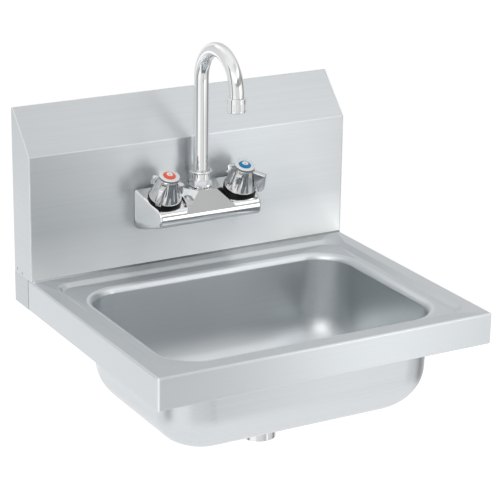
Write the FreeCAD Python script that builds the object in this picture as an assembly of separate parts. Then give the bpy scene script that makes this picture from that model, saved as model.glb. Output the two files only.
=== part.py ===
"""Wall-hung hand basin in sheet steel with a splash-mounted gooseneck tap.

Millimetres. X to the viewer's right, +Y towards the wall, +Z up. The origin is the middle
of the wall bracket's bolt row, on the wall plane.
"""
import FreeCAD, Part
import math
import os

from FreeCAD import Vector

INCH = 25.4
X_AXIS = Vector(1, 0, 0)
Y_AXIS = Vector(0, 1, 0)
Z_AXIS = Vector(0, 0, 1)
ORIGIN = Vector(0, 0, 0)

# Basin: driving sizes
overall_width = 17.125 * INCH
overall_depth = 15.25 * INCH
apron_height = 1.5 * INCH
splash_depth = 2.0 * INCH
splash_break_height = 6.125 * INCH
splash_height = 8.125 * INCH
bowl_length = 14.0 * INCH
bowl_width = 10.0 * INCH
bowl_depth = 5.0 * INCH
bowl_corner = 1.9 * INCH
sheet = 1.2

# Basin: folds, recess and bowl
fold_radius = 2.4
hem_width = 9.5
deck_tuck = 11.8
rear_flange_drop = 25.0
skirt_flange_width = 18.0
skirt_screw_radius = 2.6
skirt_screw_rise = 19.0
recess_side_margin = 17.5
recess_back_margin = 17.2
recess_front_margin = 20.0
recess_slope = 8.0
recess_depth = 5.0
recess_corner = 22.0
bowl_back_margin = 46.6
lip_radius = 8.0
wall_draft = 0.6
foot_corner = 51.0
floor_radius = 55.0
floor_corner = 17.0

# Wall bracket
bracket_sheet = 2.0
bracket_length = 320.0
bracket_hook_rise = 16.0
bracket_hook_gap = 0.3
bracket_drop = 30.0
bolt_spacing = 10.0 * INCH
bolt_radius = 4.0
bolt_drop = 15.0

# Drain
drain_forward = 127.0
drain_flange_radius = 38.0
drain_flange_thickness = 1.6
drain_hole_clearance = 0.3
drain_thread_radius = 25.1
drain_cup_radius = 22.6
drain_cup_length = 20.0
drain_funnel_radius = 25.4
drain_funnel_depth = 3.6
drain_floor_thickness = 2.0
outlet_radius = 21.1
outlet_bore_radius = 18.9
outlet_length = 22.4
hub_radius = 5.0
hub_height = 4.0
spider_width = 3.0
gasket_thickness = 3.0
gasket_overhang = 8.0
friction_washer_thickness = 1.0
locknut_height = 8.0
locknut_overhang = 7.5
locknut_lug = 3.0

# Lift-out basket
basket_gap = 0.3
basket_wall = 0.8
basket_depth = 13.0
basket_post_radius = 2.5
post_clearance = 0.08
basket_knob_radius = 5.0
basket_knob_height = 3.0
knob_side_share = 0.8
knob_top_share = 0.6
basket_post_rise = 1.5
basket_hole_radius = 1.6
basket_row_shares = (0.78, 0.42)
stopper_thickness = 2.0
stopper_radius = 20.6
basket_hole_count = 10

# Tap body
inlet_spacing = 4.0 * INCH
valve_spacing = 104.0
body_gasket = 0.8
gasket_inset = 2.6
body_half_back = 80.0
body_half_front = 69.5
body_projection = 51.0
body_back_height = 52.0
body_back_rise = 46.0
body_corner = 16.0
body_roll_radius = 12.0
body_slope_angle = 21.0
body_edge_round = 4.0
hump_front_margin = 39.5
hump_back_margin = 20.0
hump_depth = 39.2
hump_foot_front_margin = 18.1
hump_foot_spread = 3.0
hump_foot_depth = 49.6
hump_foot_drop = 22.0
valve_forward = 26.2
spout_forward = 21.7
valve_bore_radius = 9.5
valve_bore_depth = 14.0
cross_bore_radius = 3.0
cross_bore_drop = 16.1
riser_bore_radius = 5.0
riser_bore_depth = 8.0
feed_bore_radius = 4.0
feed_bore_drop = 2.0
feed_bore_reach = 20.0
spout_bore_depth = 20.0

# Inlet shanks
shank_rise = 72.0
shank_radius = 10.8
shank_bore_radius = 7.5
shank_seat = 9.0
shank_reach = 38.0
shank_nose_radius = 10.4
shank_nose_length = 24.0
splash_hole_radius = 14.3
shank_washer_radius = 19.0
shank_washer_thickness = 1.5
shank_nut_flats = 30.0
shank_nut_height = 8.0

# Shared fits
running_fit = 0.05
face_gap = 0.3
overrun = 1.0

# Valves, measured along the handle's axis from the body's sloping top
seal_thickness = 2.4
seal_bore_radius = 5.0
valve_flange_flats = 24.0
valve_flange_height = 5.0
valve_neck_radius = 8.0
valve_neck_height = 18.0
valve_chamber_radius = 7.0
disc_thickness = 3.0
disc_gap = 0.1
disc_port_radius = 2.4
disc_port_offset = 3.6
stem_flange_height = 5.0
stem_radius = 4.0
stem_height = 29.0
stem_flat_share = 0.7
valve_port_width = 8.0

# Handles, measured along the same axis
handle_height = 37.0
skirt_height = 5.4
skirt_radius = 19.8
skirt_lip_radius = 20.2
skirt_lip_height = 1.4
crown_radius = 13.0
crown_height = 34.0
crown_band = 1.7
handle_wall = 1.8
hub_wall = 3.2
hub_bottom = 19.0
hub_web = 2.2
wing_width = 5.6
wing_reach = 19.8
wing_shoulder = 30.6
wing_foot_reach = 20.9
wing_foot = 18.5
wing_corner = 1.4
lever_width = 7.0
lever_reach = 28.6
lever_shoulder = 32.2
lever_foot_reach = 30.2
lever_foot = 6.4
lever_corner = 6.6
cap_radius = 12.8
cap_thickness = 0.8
cap_groove_radius = 11.5
cap_edge_share = 0.4
index_ring_radius = 7.6
index_ring_inner = 3.9
index_ring_depth = 0.5
index_ring_edge = 0.3
index_rise = 2.2
button_depth = 2.7
button_hole_radius = 1.3
screw_radius = 1.6
screw_head_radius = 3.2
screw_head_height = 1.6
screw_length = 9.0
screw_slot = 0.8
shroud_radius = 20.8
shroud_inner_radius = 14.6

# Spout
tube_radius = 9.0
tube_wall = 1.0
spout_reach = 88.0
spout_top_centre = 233.0
spout_tail = 9.0
spout_foot = 12.5
boss_radius = 11.4
boss_height = 13.5
socket_radius = 10.3
o_ring_radius = 0.6
o_ring_pitch = 5.0
collar_rise = 7.0
collar_thickness = 3.0
nut_flats = 24.8
nut_turn = 30.0
nut_height = 17.9
nut_lift = 0.3
nut_rim_radius = 14.6
nut_rim_height = 2.4
nut_neck_radius = 12.6
nut_neck_height = 8.4
nut_top_wall = 4.6
nut_dish_radius = 11.6
nut_dish_foot = 10.0
nut_dish_depth = 2.0

# Aerator
aerator_radius = 11.25
aerator_height = 17.0
aerator_entry = 5.5
aerator_throat_radius = 8.4
aerator_bore_radius = 9.5
aerator_insert_height = 7.0
aerator_insert_hole = 1.0
aerator_insert_pitch = 2.6
aerator_washer_thickness = 1.6
aerator_flute_radius = 0.9
aerator_lip = 1.4
flute_count = 16

# Proportions
recess_sections = 9
lip_sections = 7
floor_sections = 10

# Places worked out from the sizes
deck_z = -(splash_height - rear_flange_drop - bracket_sheet - bolt_drop)
splash_face = -splash_depth
deck_back = splash_face + deck_tuck
half_width = overall_width / 2
splash_corner = deck_z + splash_height + fold_radius * math.sqrt(2)
ledge_z = deck_z - recess_depth
floor_z = ledge_z - bowl_depth
bowl_y = splash_face - bowl_back_margin - bowl_width / 2
lip_out = lip_radius * math.sin(math.radians(45))
drain_y = splash_face - bowl_back_margin - drain_forward
body_back = splash_face - body_gasket
body_top = deck_z + body_back_rise + body_back_height
spout_y = splash_face - spout_forward
slope = math.radians(body_slope_angle)


def slope_z(y):
    """Height of the tap body's sloping top at a depth y."""
    return body_top + (y - body_back) * math.tan(slope)


def box(x0, x1, y0, y1, z0, z1):
    return Part.makeBox(x1 - x0, y1 - y0, z1 - z0, Vector(x0, y0, z0))


def cylinder(radius, z0, z1, x=0, y=0):
    return Part.makeCylinder(radius, z1 - z0, Vector(x, y, z0), Z_AXIS)


def ring(outer, inner, z0, z1, x=0, y=0):
    return cylinder(outer, z0, z1, x, y).cut(cylinder(inner, z0, z1, x, y))


def revolved(points):
    """Solid of revolution about Z from (radius, z) points."""
    corners = [Vector(r, 0, z) for r, z in points]
    face = Part.Face(Part.makePolygon(corners + corners[:1]))
    return face.revolve(ORIGIN, Z_AXIS, 360)


def prism_yz(points, x0, x1):
    corners = [Vector(x0, y, z) for y, z in points]
    face = Part.Face(Part.makePolygon(corners + corners[:1]))
    return face.extrude(Vector(x1 - x0, 0, 0))


def hexagon(flats, z0, z1, x=0, y=0):
    reach = flats / 2 / math.cos(math.radians(30))
    corners = []
    for k in range(6):
        turn = math.radians(60 * k)
        corners.append(Vector(x + reach * math.cos(turn), y + reach * math.sin(turn), z0))
    face = Part.Face(Part.makePolygon(corners + corners[:1]))
    return face.extrude(Vector(0, 0, z1 - z0))


def chamfered_nut(flats, z0, z1, x=0, y=0):
    """Hexagon with its corners turned off to a cone at both ends."""
    reach = flats / 2 / math.cos(math.radians(30))
    bevel = (reach - flats / 2) * math.tan(math.radians(30))
    cone = revolved([(0, z0), (flats / 2, z0), (reach, z0 + bevel), (reach, z1 - bevel),
                     (flats / 2, z1), (0, z1)])
    cone.translate(Vector(x, y, 0))
    return hexagon(flats, z0, z1, x, y).common(cone)


def rounded_outline(half_x, half_y, radius, centre_y, z):
    """Wire of a rounded rectangle in the plane z: four straight sides and four arcs."""
    edges = []
    for k, (sx, sy) in enumerate([(1, 1), (-1, 1), (-1, -1), (1, -1)]):
        cx = sx * (half_x - radius)
        cy = centre_y + sy * (half_y - radius)
        start = math.radians(90 * k)
        turns = [start, start + math.radians(45), start + math.radians(90)]
        points = [Vector(cx + radius * math.cos(a), cy + radius * math.sin(a), z) for a in turns]
        edges.append(points)
    wire = []
    for k, points in enumerate(edges):
        wire.append(Part.Arc(*points).toShape())
        wire.append(Part.LineSegment(points[2], edges[(k + 1) % 4][0]).toShape())
    return Part.Wire(wire)


def loft(wires):
    """Solid through closed wires, straight from each one to the next."""
    return Part.makeLoft(wires, True, True)


def bent_strip(path, radius):
    """Closed wire of sheet metal in the YZ plane. The path is its outer side, and the
    metal lies to the right of the way along it."""
    turns = []
    for before, corner, after in zip(path, path[1:], path[2:]):
        way_in = (corner - before).normalize()
        way_out = (after - corner).normalize()
        reach = radius * math.tan(way_in.getAngle(way_out) / 2)
        turns.append((corner - way_in * reach, corner + way_out * reach, way_in, way_out))
    outer = [path[0]]
    inner = [path[0] + side(path[1] - path[0]) * sheet]
    edges_out = []
    edges_in = []
    for start, end, way_in, way_out in turns:
        centre = start + side(way_in) * radius
        middle = (side(way_in) + side(way_out)).normalize()
        inner_start = start + side(way_in) * sheet
        inner_end = end + side(way_out) * sheet
        edges_out.append(Part.LineSegment(outer[-1], start).toShape())
        edges_out.append(Part.Arc(start, centre - middle * radius, end).toShape())
        edges_in.append(Part.LineSegment(inner[-1], inner_start).toShape())
        edges_in.append(Part.Arc(inner_start, centre - middle * (radius - sheet), inner_end).toShape())
        outer.append(end)
        inner.append(inner_end)
    last_inner = path[-1] + side(path[-1] - path[-2]) * sheet
    edges_out.append(Part.LineSegment(outer[-1], path[-1]).toShape())
    edges_in.append(Part.LineSegment(inner[-1], last_inner).toShape())
    ends = [Part.LineSegment(path[0], inner[0]).toShape(),
            Part.LineSegment(path[-1], last_inner).toShape()]
    return Part.Wire(Part.__sortEdges__(edges_out + edges_in + ends))


def side(way):
    """Unit vector to the right of a direction in the YZ plane, seen from the left (-X)."""
    return Vector(0, way.z, -way.y).normalize()


def at_valve(shape):
    """Puts a shape drawn about the Z axis onto the left-hand valve's tilted axis."""
    placed = shape.copy()
    placed.rotate(ORIGIN, X_AXIS, body_slope_angle)
    valve_y = splash_face - valve_forward
    placed.translate(Vector(-valve_spacing / 2, valve_y, slope_z(valve_y)))
    return placed


def mirrored(shape):
    return shape.mirror(ORIGIN, X_AXIS)


# Sheet-metal basin
def recess_outline(inset, z):
    """Outline of the deck's pressed recess, drawn in by inset."""
    half_x = half_width - recess_side_margin
    front = -overall_depth + recess_front_margin
    back = splash_face - recess_back_margin
    return rounded_outline(half_x - inset, (back - front) / 2 - inset, recess_corner - inset / 2,
                           (back + front) / 2, z)


def recess_solid(drop):
    """The pressed recess of the deck, as a solid let down by drop."""
    wires = []
    for k in range(recess_sections):
        share = k / (recess_sections - 1)
        depth = recess_depth * (1 - math.cos(math.pi * share)) / 2
        wires.append(recess_outline(recess_slope * share, deck_z - depth - drop))
    return loft(wires)


def upright(wire, height):
    return Part.Face(wire).extrude(Vector(0, 0, height))


def bowl_rim(z):
    return rounded_outline(bowl_length / 2 + lip_out, bowl_width / 2 + lip_out,
                           bowl_corner + lip_out, bowl_y, z)


def bowl_hole(z0, z1):
    return upright(bowl_rim(z0), z1 - z0)


def make_deck():
    outer = box(-half_width, half_width, -overall_depth, deck_back, deck_z - apron_height, deck_z)
    rounded = []
    for edge in outer.Edges:
        middle = edge.CenterOfMass
        on_top = abs(middle.z - deck_z) < sheet and middle.y < deck_back - sheet
        at_front = middle.y < -overall_depth + sheet and abs(middle.x) > half_width - sheet
        if on_top or at_front:
            rounded.append(edge)
    outer = outer.makeFillet(fold_radius, rounded)
    inner = box(-half_width + sheet, half_width - sheet, -overall_depth + sheet, deck_back - sheet,
                deck_z - apron_height - overrun, deck_z - sheet)
    hem_top = deck_z - apron_height + sheet
    hem = box(-half_width + sheet, half_width - sheet, -overall_depth + sheet, deck_back - sheet,
              deck_z - apron_height, hem_top)
    hem = hem.cut(box(-half_width + hem_width, half_width - hem_width, -overall_depth + hem_width,
                      deck_back - hem_width, deck_z - apron_height - overrun, hem_top + overrun))
    shell = outer.cut(inner).fuse(hem)
    mouth = upright(recess_outline(0, deck_z), overrun)
    shell = shell.fuse(recess_solid(sheet)).cut(recess_solid(0).fuse(mouth))
    return shell.cut(bowl_hole(ledge_z - recess_depth, deck_z + overrun)).removeSplitter()


def bowl_solid(grow):
    """Inside of the bowl for grow 0, its outside for grow equal to the sheet."""
    corner = bowl_corner + lip_out
    wall_inset = lip_radius - lip_out
    lip = []
    for k in range(lip_sections):
        turn = math.radians(90) * k / (lip_sections - 1)
        inset = (lip_radius - grow) * math.sin(turn)
        z = ledge_z - lip_radius + (lip_radius - grow) * math.cos(turn)
        lip.append(rounded_outline(bowl_length / 2 + lip_out - inset, bowl_width / 2 + lip_out - inset,
                                   corner - inset, bowl_y, z))
    foot_inset = wall_inset + wall_draft
    floor = []
    for k in range(floor_sections):
        turn = math.radians(90) * k / (floor_sections - 1)
        inset = foot_inset + floor_radius - (floor_radius + grow) * math.cos(turn)
        z = floor_z + floor_radius - (floor_radius + grow) * math.sin(turn)
        radius = foot_corner + grow + (floor_corner - foot_corner) * (1 - math.cos(turn))
        floor.append(rounded_outline(bowl_length / 2 - inset, bowl_width / 2 - inset,
                                     radius, bowl_y, z))
    return loft(lip + floor)


def make_bowl():
    outside = bowl_solid(sheet).fuse(bowl_hole(ledge_z - sheet, ledge_z))
    bowl = outside.cut(bowl_solid(0).fuse(bowl_hole(ledge_z, ledge_z + overrun)))
    hole_radius = drain_thread_radius + drain_hole_clearance
    return bowl.cut(cylinder(hole_radius, floor_z - sheet - overrun, floor_z + overrun, 0, drain_y))


def splash_outline():
    """Outer side of the folded sheet from the deck up, over the top and down to the bracket."""
    return [Vector(0, splash_face, deck_z),
            Vector(0, splash_face, deck_z + splash_break_height),
            Vector(0, 0, splash_corner),
            Vector(0, 0, deck_z + splash_height - rear_flange_drop)]


def make_backsplash():
    strip = Part.Face(bent_strip(splash_outline(), fold_radius))
    width = overall_width - 2 * sheet
    strip.translate(Vector(-width / 2, 0, 0))
    sheet_solid = strip.extrude(Vector(width, 0, 0))
    for x in (-inlet_spacing / 2, inlet_spacing / 2):
        hole = Part.makeCylinder(splash_hole_radius, sheet + 2 * overrun,
                                 Vector(x, splash_face - overrun, deck_z + shank_rise), Y_AXIS)
        sheet_solid = sheet_solid.cut(hole)
    return sheet_solid


def make_splash_end():
    """End panel of the splash on the left, standing on the deck and on the rear skirt."""
    points = [(0, deck_z), (0, splash_corner), (splash_face, deck_z + splash_break_height),
              (splash_face, deck_z)]
    panel = prism_yz(points, -half_width, -half_width + sheet)
    creases = []
    for edge in panel.Edges:
        middle = edge.CenterOfMass
        at_break = abs(middle.y - splash_face) < sheet and middle.z > deck_z + sheet
        at_top = middle.y > -sheet and middle.z > deck_z + splash_break_height
        across = edge.Length < 2 * sheet
        if across and (at_break or at_top):
            creases.append(edge)
    return panel.makeFillet(fold_radius, creases)


def make_rear_skirt():
    """Strip below the end panel on the left, folded inwards along the wall."""
    top = deck_z
    bottom = deck_z - apron_height
    strip = box(-half_width, -half_width + sheet, deck_back, 0, bottom, top)
    flange = box(-half_width, -half_width + sheet + skirt_flange_width, -sheet, 0, bottom, top)
    x = -half_width + sheet + skirt_flange_width / 2
    hole = Part.makeCylinder(skirt_screw_radius, sheet + 2 * overrun,
                             Vector(x, -sheet - overrun, bottom + skirt_screw_rise), Y_AXIS)
    return strip.fuse(flange).cut(hole).removeSplitter()


def make_wall_bracket():
    """Strip on the wall whose upper edge is set forward as a hook for the splash's flange."""
    shelf = deck_z + splash_height - rear_flange_drop
    gap = sheet + bracket_hook_gap
    hook_top = shelf + bracket_hook_rise
    points = [(0, shelf - bracket_drop), (0, shelf), (-gap, shelf), (-gap, hook_top),
              (-gap - bracket_sheet, hook_top), (-gap - bracket_sheet, shelf - bracket_sheet),
              (-bracket_sheet, shelf - bracket_sheet), (-bracket_sheet, shelf - bracket_drop)]
    strip = prism_yz(points, -bracket_length / 2, bracket_length / 2)
    for x in (-bolt_spacing / 2, bolt_spacing / 2):
        hole = Part.makeCylinder(bolt_radius, bracket_sheet + 2 * overrun,
                                 Vector(x, -bracket_sheet - overrun, 0), Y_AXIS)
        strip = strip.cut(hole)
    return strip


# Drain
def make_strainer_body():
    top = floor_z + drain_flange_thickness
    cup_bottom = floor_z - drain_cup_length
    funnel_bottom = top - drain_funnel_depth
    profile = [(outlet_bore_radius, cup_bottom - outlet_length),
               (outlet_radius, cup_bottom - outlet_length),
               (outlet_radius, cup_bottom - drain_floor_thickness),
               (drain_thread_radius, cup_bottom + drain_floor_thickness),
               (drain_thread_radius, floor_z),
               (drain_flange_radius, floor_z),
               (drain_flange_radius, floor_z + drain_flange_thickness / 2),
               (drain_flange_radius - drain_flange_thickness, top),
               (drain_funnel_radius, top),
               (drain_cup_radius, funnel_bottom),
               (drain_cup_radius, cup_bottom + drain_floor_thickness),
               (outlet_bore_radius, cup_bottom)]
    body = revolved(profile)
    spider_top = cup_bottom + drain_floor_thickness
    hub = cylinder(hub_radius, spider_top - hub_height, spider_top)
    for turn in (0, 90):
        bar = box(-outlet_bore_radius - overrun, outlet_bore_radius + overrun, -spider_width / 2,
                  spider_width / 2, spider_top - hub_height, spider_top)
        bar.rotate(ORIGIN, Z_AXIS, turn)
        hub = hub.fuse(bar)
    body = body.fuse(hub)
    body = body.cut(cylinder(basket_post_radius + post_clearance, spider_top - hub_height - overrun,
                             spider_top + overrun))
    body.translate(Vector(0, drain_y, 0))
    return body.removeSplitter()


def make_strainer_gasket():
    top = floor_z - sheet
    inner = drain_thread_radius + drain_hole_clearance
    return ring(drain_thread_radius + gasket_overhang, inner, top - gasket_thickness, top, 0, drain_y)


def make_strainer_washer():
    top = floor_z - sheet - gasket_thickness
    inner = drain_thread_radius + drain_hole_clearance
    return ring(drain_thread_radius + gasket_overhang, inner, top - friction_washer_thickness, top,
                0, drain_y)


def make_strainer_locknut():
    top = floor_z - sheet - gasket_thickness - friction_washer_thickness
    bottom = top - locknut_height
    outer = drain_thread_radius + locknut_overhang
    nut = cylinder(outer, bottom, top)
    for k in range(4):
        lug = box(-locknut_lug, locknut_lug, 0, outer + locknut_lug, bottom, top)
        lug.rotate(ORIGIN, Z_AXIS, 90 * k + 45)
        nut = nut.fuse(lug)
    nut = nut.cut(cylinder(drain_thread_radius + running_fit, bottom - overrun, top + overrun))
    nut.translate(Vector(0, drain_y, 0))
    return nut.removeSplitter()


def make_strainer_basket():
    """Perforated crumb cup on a post, which lifts out of the strainer."""
    top = floor_z + drain_flange_thickness
    cup_radius = drain_cup_radius - basket_gap * 2
    rim_z = top - drain_funnel_depth
    rim_reach = drain_funnel_radius - basket_gap * 2
    lean = (drain_funnel_radius - drain_cup_radius) / drain_funnel_depth
    rim_rise = (rim_reach - cup_radius) / lean
    bottom = rim_z - basket_depth
    profile = [(0, bottom), (cup_radius, bottom), (cup_radius, rim_z), (rim_reach, rim_z + rim_rise),
               (rim_reach - basket_wall, rim_z + rim_rise), (cup_radius - basket_wall, rim_z),
               (cup_radius - basket_wall, bottom + basket_wall), (0, bottom + basket_wall)]
    cup = revolved(profile)
    for row, share in enumerate(basket_row_shares):
        count = basket_hole_count // (row + 1)
        for k in range(count):
            turn = 2 * math.pi * k / count
            x = cup_radius * share * math.cos(turn)
            y = cup_radius * share * math.sin(turn)
            hole = cylinder(basket_hole_radius, bottom - overrun, bottom + basket_wall + overrun, x, y)
            cup = cup.cut(hole)
    post_bottom = floor_z - drain_cup_length + drain_floor_thickness - hub_height
    post_top = top + basket_post_rise
    post = cylinder(basket_post_radius, post_bottom, post_top)
    knob = revolved([(0, post_top), (basket_post_radius, post_top),
                     (basket_knob_radius, post_top + basket_knob_height / 2),
                     (basket_knob_radius, post_top + basket_knob_height * knob_side_share),
                     (basket_knob_radius * knob_top_share, post_top + basket_knob_height),
                     (0, post_top + basket_knob_height)])
    basket = cup.fuse(post).fuse(knob)
    basket.translate(Vector(0, drain_y, 0))
    return basket.removeSplitter()


def make_basket_stopper():
    bottom = floor_z + drain_flange_thickness - drain_funnel_depth - basket_depth
    inner = basket_post_radius + running_fit
    return ring(stopper_radius, inner, bottom - stopper_thickness, bottom, 0, drain_y)


# Tap body
def body_profile():
    """Side outline of the tap body: sloping top, front roll, rising underside."""
    front_y = body_back - body_projection + body_roll_radius
    lean = Vector(0, -math.sin(slope), math.cos(slope))
    touch_y = front_y - math.sin(slope) * body_roll_radius
    touch = Vector(0, touch_y, slope_z(touch_y))
    centre = touch - lean * body_roll_radius
    heel = Vector(0, body_back, body_top - body_back_height)
    gap = heel - centre
    away = math.atan2(gap.z, gap.y)
    turn = away - math.acos(body_roll_radius / gap.Length)
    under = centre + Vector(0, math.cos(turn), math.sin(turn)) * body_roll_radius
    nose = centre - Vector(0, body_roll_radius, 0)
    top = Vector(0, body_back, body_top)
    edges = [Part.LineSegment(top, touch).toShape(), Part.Arc(touch, nose, under).toShape(),
             Part.LineSegment(under, heel).toShape(), Part.LineSegment(heel, top).toShape()]
    return Part.Wire(edges)


def body_plan(half, y, drop):
    """Front outline of the tap body at depth y, round at its lower corners and let down by drop."""
    low = body_top - body_back_height - drop
    bend = body_corner * (1 - math.cos(math.radians(45)))
    left = [Vector(-half, y, low + body_corner), Vector(-half + bend, y, low + bend),
            Vector(-half + body_corner, y, low)]
    right = [Vector(half - body_corner, y, low), Vector(half - bend, y, low + bend),
             Vector(half, y, low + body_corner)]
    high = body_top + overrun
    edges = [Part.Arc(*left).toShape(), Part.LineSegment(left[2], right[0]).toShape(),
             Part.Arc(*right).toShape(),
             Part.LineSegment(right[2], Vector(half, y, high)).toShape(),
             Part.LineSegment(Vector(half, y, high), Vector(-half, y, high)).toShape(),
             Part.LineSegment(Vector(-half, y, high), left[0]).toShape()]
    return Part.Wire(edges)


def trapezium(half_back, half_front, depth, z):
    corners = [Vector(-half_back, body_back, z), Vector(half_back, body_back, z),
               Vector(half_front, body_back - depth, z), Vector(-half_front, body_back - depth, z)]
    return Part.makePolygon(corners + corners[:1])


def hump():
    """Flat-topped seat of the spout, with facets running down between the valves."""
    valve_x = valve_spacing / 2
    top = trapezium(valve_x - hump_back_margin, valve_x - hump_front_margin, hump_depth, body_top)
    foot = trapezium(valve_x + hump_foot_spread, valve_x - hump_foot_front_margin, hump_foot_depth,
                     body_top - hump_foot_drop)
    return loft([foot, top])


def body_bores():
    """Socket of the spout, valve bores and the passages between them and the inlets."""
    bores = cylinder(socket_radius, body_top - spout_bore_depth, body_top + boss_height + overrun,
                     0, spout_y)
    valve = at_valve(cylinder(valve_bore_radius, -valve_bore_depth, handle_height))
    cross_z = body_top - cross_bore_drop
    cross = Part.makeCylinder(cross_bore_radius, valve_spacing,
                              Vector(-valve_spacing / 2, spout_y, cross_z), X_AXIS)
    bores = bores.fuse(valve).fuse(mirrored(valve)).fuse(cross)
    riser = at_valve(cylinder(riser_bore_radius, -valve_bore_depth - riser_bore_depth,
                              -valve_bore_depth + overrun))
    bores = bores.fuse(riser).fuse(mirrored(riser))
    for hand in (-1, 1):
        start = Vector(hand * inlet_spacing / 2, body_back + overrun, deck_z + shank_rise)
        seat = Part.makeCylinder(shank_radius + running_fit, shank_seat + overrun, start, -Y_AXIS)
        middle = start - Z_AXIS * feed_bore_drop
        feed = Part.makeCylinder(feed_bore_radius, feed_bore_reach, middle, -Y_AXIS)
        ends = sorted([hand * inlet_spacing / 2, hand * valve_spacing / 2])
        feed_end = middle.y - feed_bore_reach
        link = box(ends[0] - feed_bore_radius, ends[1] + feed_bore_radius, feed_end,
                   feed_end + feed_bore_radius, middle.z - feed_bore_radius, middle.z + feed_bore_radius)
        bores = bores.fuse(seat).fuse(feed).fuse(link)
    return bores


def make_tap_body():
    prism = Part.Face(body_profile())
    prism.translate(Vector(-body_half_back, 0, 0))
    prism = prism.extrude(Vector(2 * body_half_back, 0, 0))
    plan = loft([body_plan(body_half_front, body_back - body_projection, overrun),
                 body_plan(body_half_back, body_back, overrun)])
    body = prism.common(plan)
    rims = []
    for edge in body.Edges:
        middle = edge.CenterOfMass
        on_end = abs(middle.x) > body_half_front - overrun
        on_slope = abs(middle.z - slope_z(middle.y)) < overrun and middle.y < body_back - overrun
        if on_end and on_slope and edge.Length > body_projection / 2:
            rims.append(edge)
    body = body.makeFillet(body_edge_round, rims)
    boss = cylinder(boss_radius, body_top - overrun, body_top + boss_height, 0, spout_y)
    body = body.fuse(hump()).fuse(boss)
    return body.cut(body_bores()).removeSplitter()


def make_tap_gasket():
    outline = Part.Face(body_plan(body_half_back - gasket_inset, body_back, -gasket_inset))
    plate = outline.extrude(Vector(0, body_gasket, 0))
    high = body_top - gasket_inset
    plate = plate.cut(box(-body_half_back, body_half_back, body_back - overrun, splash_face + overrun,
                          high, high + body_back_height))
    for x in (-inlet_spacing / 2, inlet_spacing / 2):
        hole = Part.makeCylinder(shank_radius + running_fit, body_gasket + 2 * overrun,
                                 Vector(x, body_back - overrun, deck_z + shank_rise), Y_AXIS)
        plate = plate.cut(hole)
    return plate


def along_shank(shape, x):
    """Turns a shape drawn upwards from z = 0 to point at the wall from the splash's face."""
    placed = shape.copy()
    placed.rotate(ORIGIN, X_AXIS, -90)
    placed.translate(Vector(x, splash_face, deck_z + shank_rise))
    return placed


def make_inlet_shank(x):
    """Threaded tube with a narrower nose for the supply hose's nut."""
    start = -body_gasket - shank_seat
    nose = shank_reach - shank_nose_length
    cone = 2 * (shank_radius - shank_nose_radius)
    tube = revolved([(shank_bore_radius, start), (shank_radius, start), (shank_radius, nose - cone),
                     (shank_nose_radius, nose), (shank_nose_radius, shank_reach),
                     (shank_bore_radius, shank_reach)])
    return along_shank(tube, x)


def make_shank_washers():
    washer = ring(shank_washer_radius, shank_radius + running_fit, sheet, sheet + shank_washer_thickness)
    return Part.makeCompound([along_shank(washer, x) for x in (-inlet_spacing / 2, inlet_spacing / 2)])


def make_shank_locknuts():
    start = sheet + shank_washer_thickness
    nut = chamfered_nut(shank_nut_flats, start, start + shank_nut_height)
    nut = nut.cut(cylinder(shank_radius + running_fit, start - overrun, start + shank_nut_height + overrun))
    return Part.makeCompound([along_shank(nut, x) for x in (-inlet_spacing / 2, inlet_spacing / 2)])


# Valves
def make_seat_seal():
    bottom = -valve_bore_depth
    return ring(valve_bore_radius - running_fit, seal_bore_radius, bottom, bottom + seal_thickness)


def make_valve_body():
    """Screwed-in cartridge: chamber open below, a side port towards the spout, hexagon and neck."""
    bottom = -valve_bore_depth + seal_thickness
    chamber_top = bottom + 2 * disc_thickness + 3 * disc_gap + stem_flange_height + disc_gap
    body = cylinder(valve_bore_radius - running_fit, bottom, 0)
    body = body.fuse(chamfered_nut(valve_flange_flats, 0, valve_flange_height))
    body = body.fuse(cylinder(valve_neck_radius, valve_flange_height, valve_neck_height))
    body = body.cut(cylinder(valve_chamber_radius, bottom - overrun, chamber_top))
    body = body.cut(cylinder(stem_radius + running_fit, chamber_top - overrun, valve_neck_height + overrun))
    port_bottom = bottom + 3 * disc_gap + disc_thickness
    port = box(0, valve_bore_radius + overrun, -valve_port_width / 2, valve_port_width / 2,
               port_bottom, port_bottom + disc_thickness)
    return body.cut(port).removeSplitter()


def ceramic_disc(bottom):
    disc = cylinder(valve_chamber_radius - disc_gap, bottom, bottom + disc_thickness)
    for x in (-disc_port_offset, disc_port_offset):
        disc = disc.cut(cylinder(disc_port_radius, bottom - overrun, bottom + disc_thickness + overrun, x))
    return disc


def make_fixed_disc():
    return ceramic_disc(-valve_bore_depth + seal_thickness + 2 * disc_gap)


def make_turning_disc():
    return ceramic_disc(-valve_bore_depth + seal_thickness + 3 * disc_gap + disc_thickness)


def make_stem():
    bottom = -valve_bore_depth + seal_thickness + 3 * disc_gap + 2 * disc_thickness
    stem = cylinder(valve_chamber_radius - disc_gap, bottom, bottom + stem_flange_height)
    stem = stem.fuse(cylinder(stem_radius, bottom, stem_height))
    flat = box(stem_radius * stem_flat_share, stem_radius * 2, -stem_radius, stem_radius,
               valve_neck_height + face_gap, stem_height + overrun)
    hole_bottom = stem_height + hub_web - screw_length - face_gap
    hole = cylinder(screw_radius + running_fit, hole_bottom, stem_height + overrun)
    return stem.cut(flat).cut(hole).removeSplitter()


# Handles
def wing(reach, foot_reach, shoulder, foot, width, corner):
    """Upright fin from the handle's axis out to reach."""
    points = [(0, foot), (foot_reach - corner, foot), (foot_reach, foot + corner), (reach, shoulder),
              (crown_radius, crown_height - crown_band), (0, crown_height - crown_band)]
    corners = [Vector(r, -width / 2, z) for r, z in points]
    face = Part.Face(Part.makePolygon(corners + corners[:1]))
    return face.extrude(Vector(0, width, 0))


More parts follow.
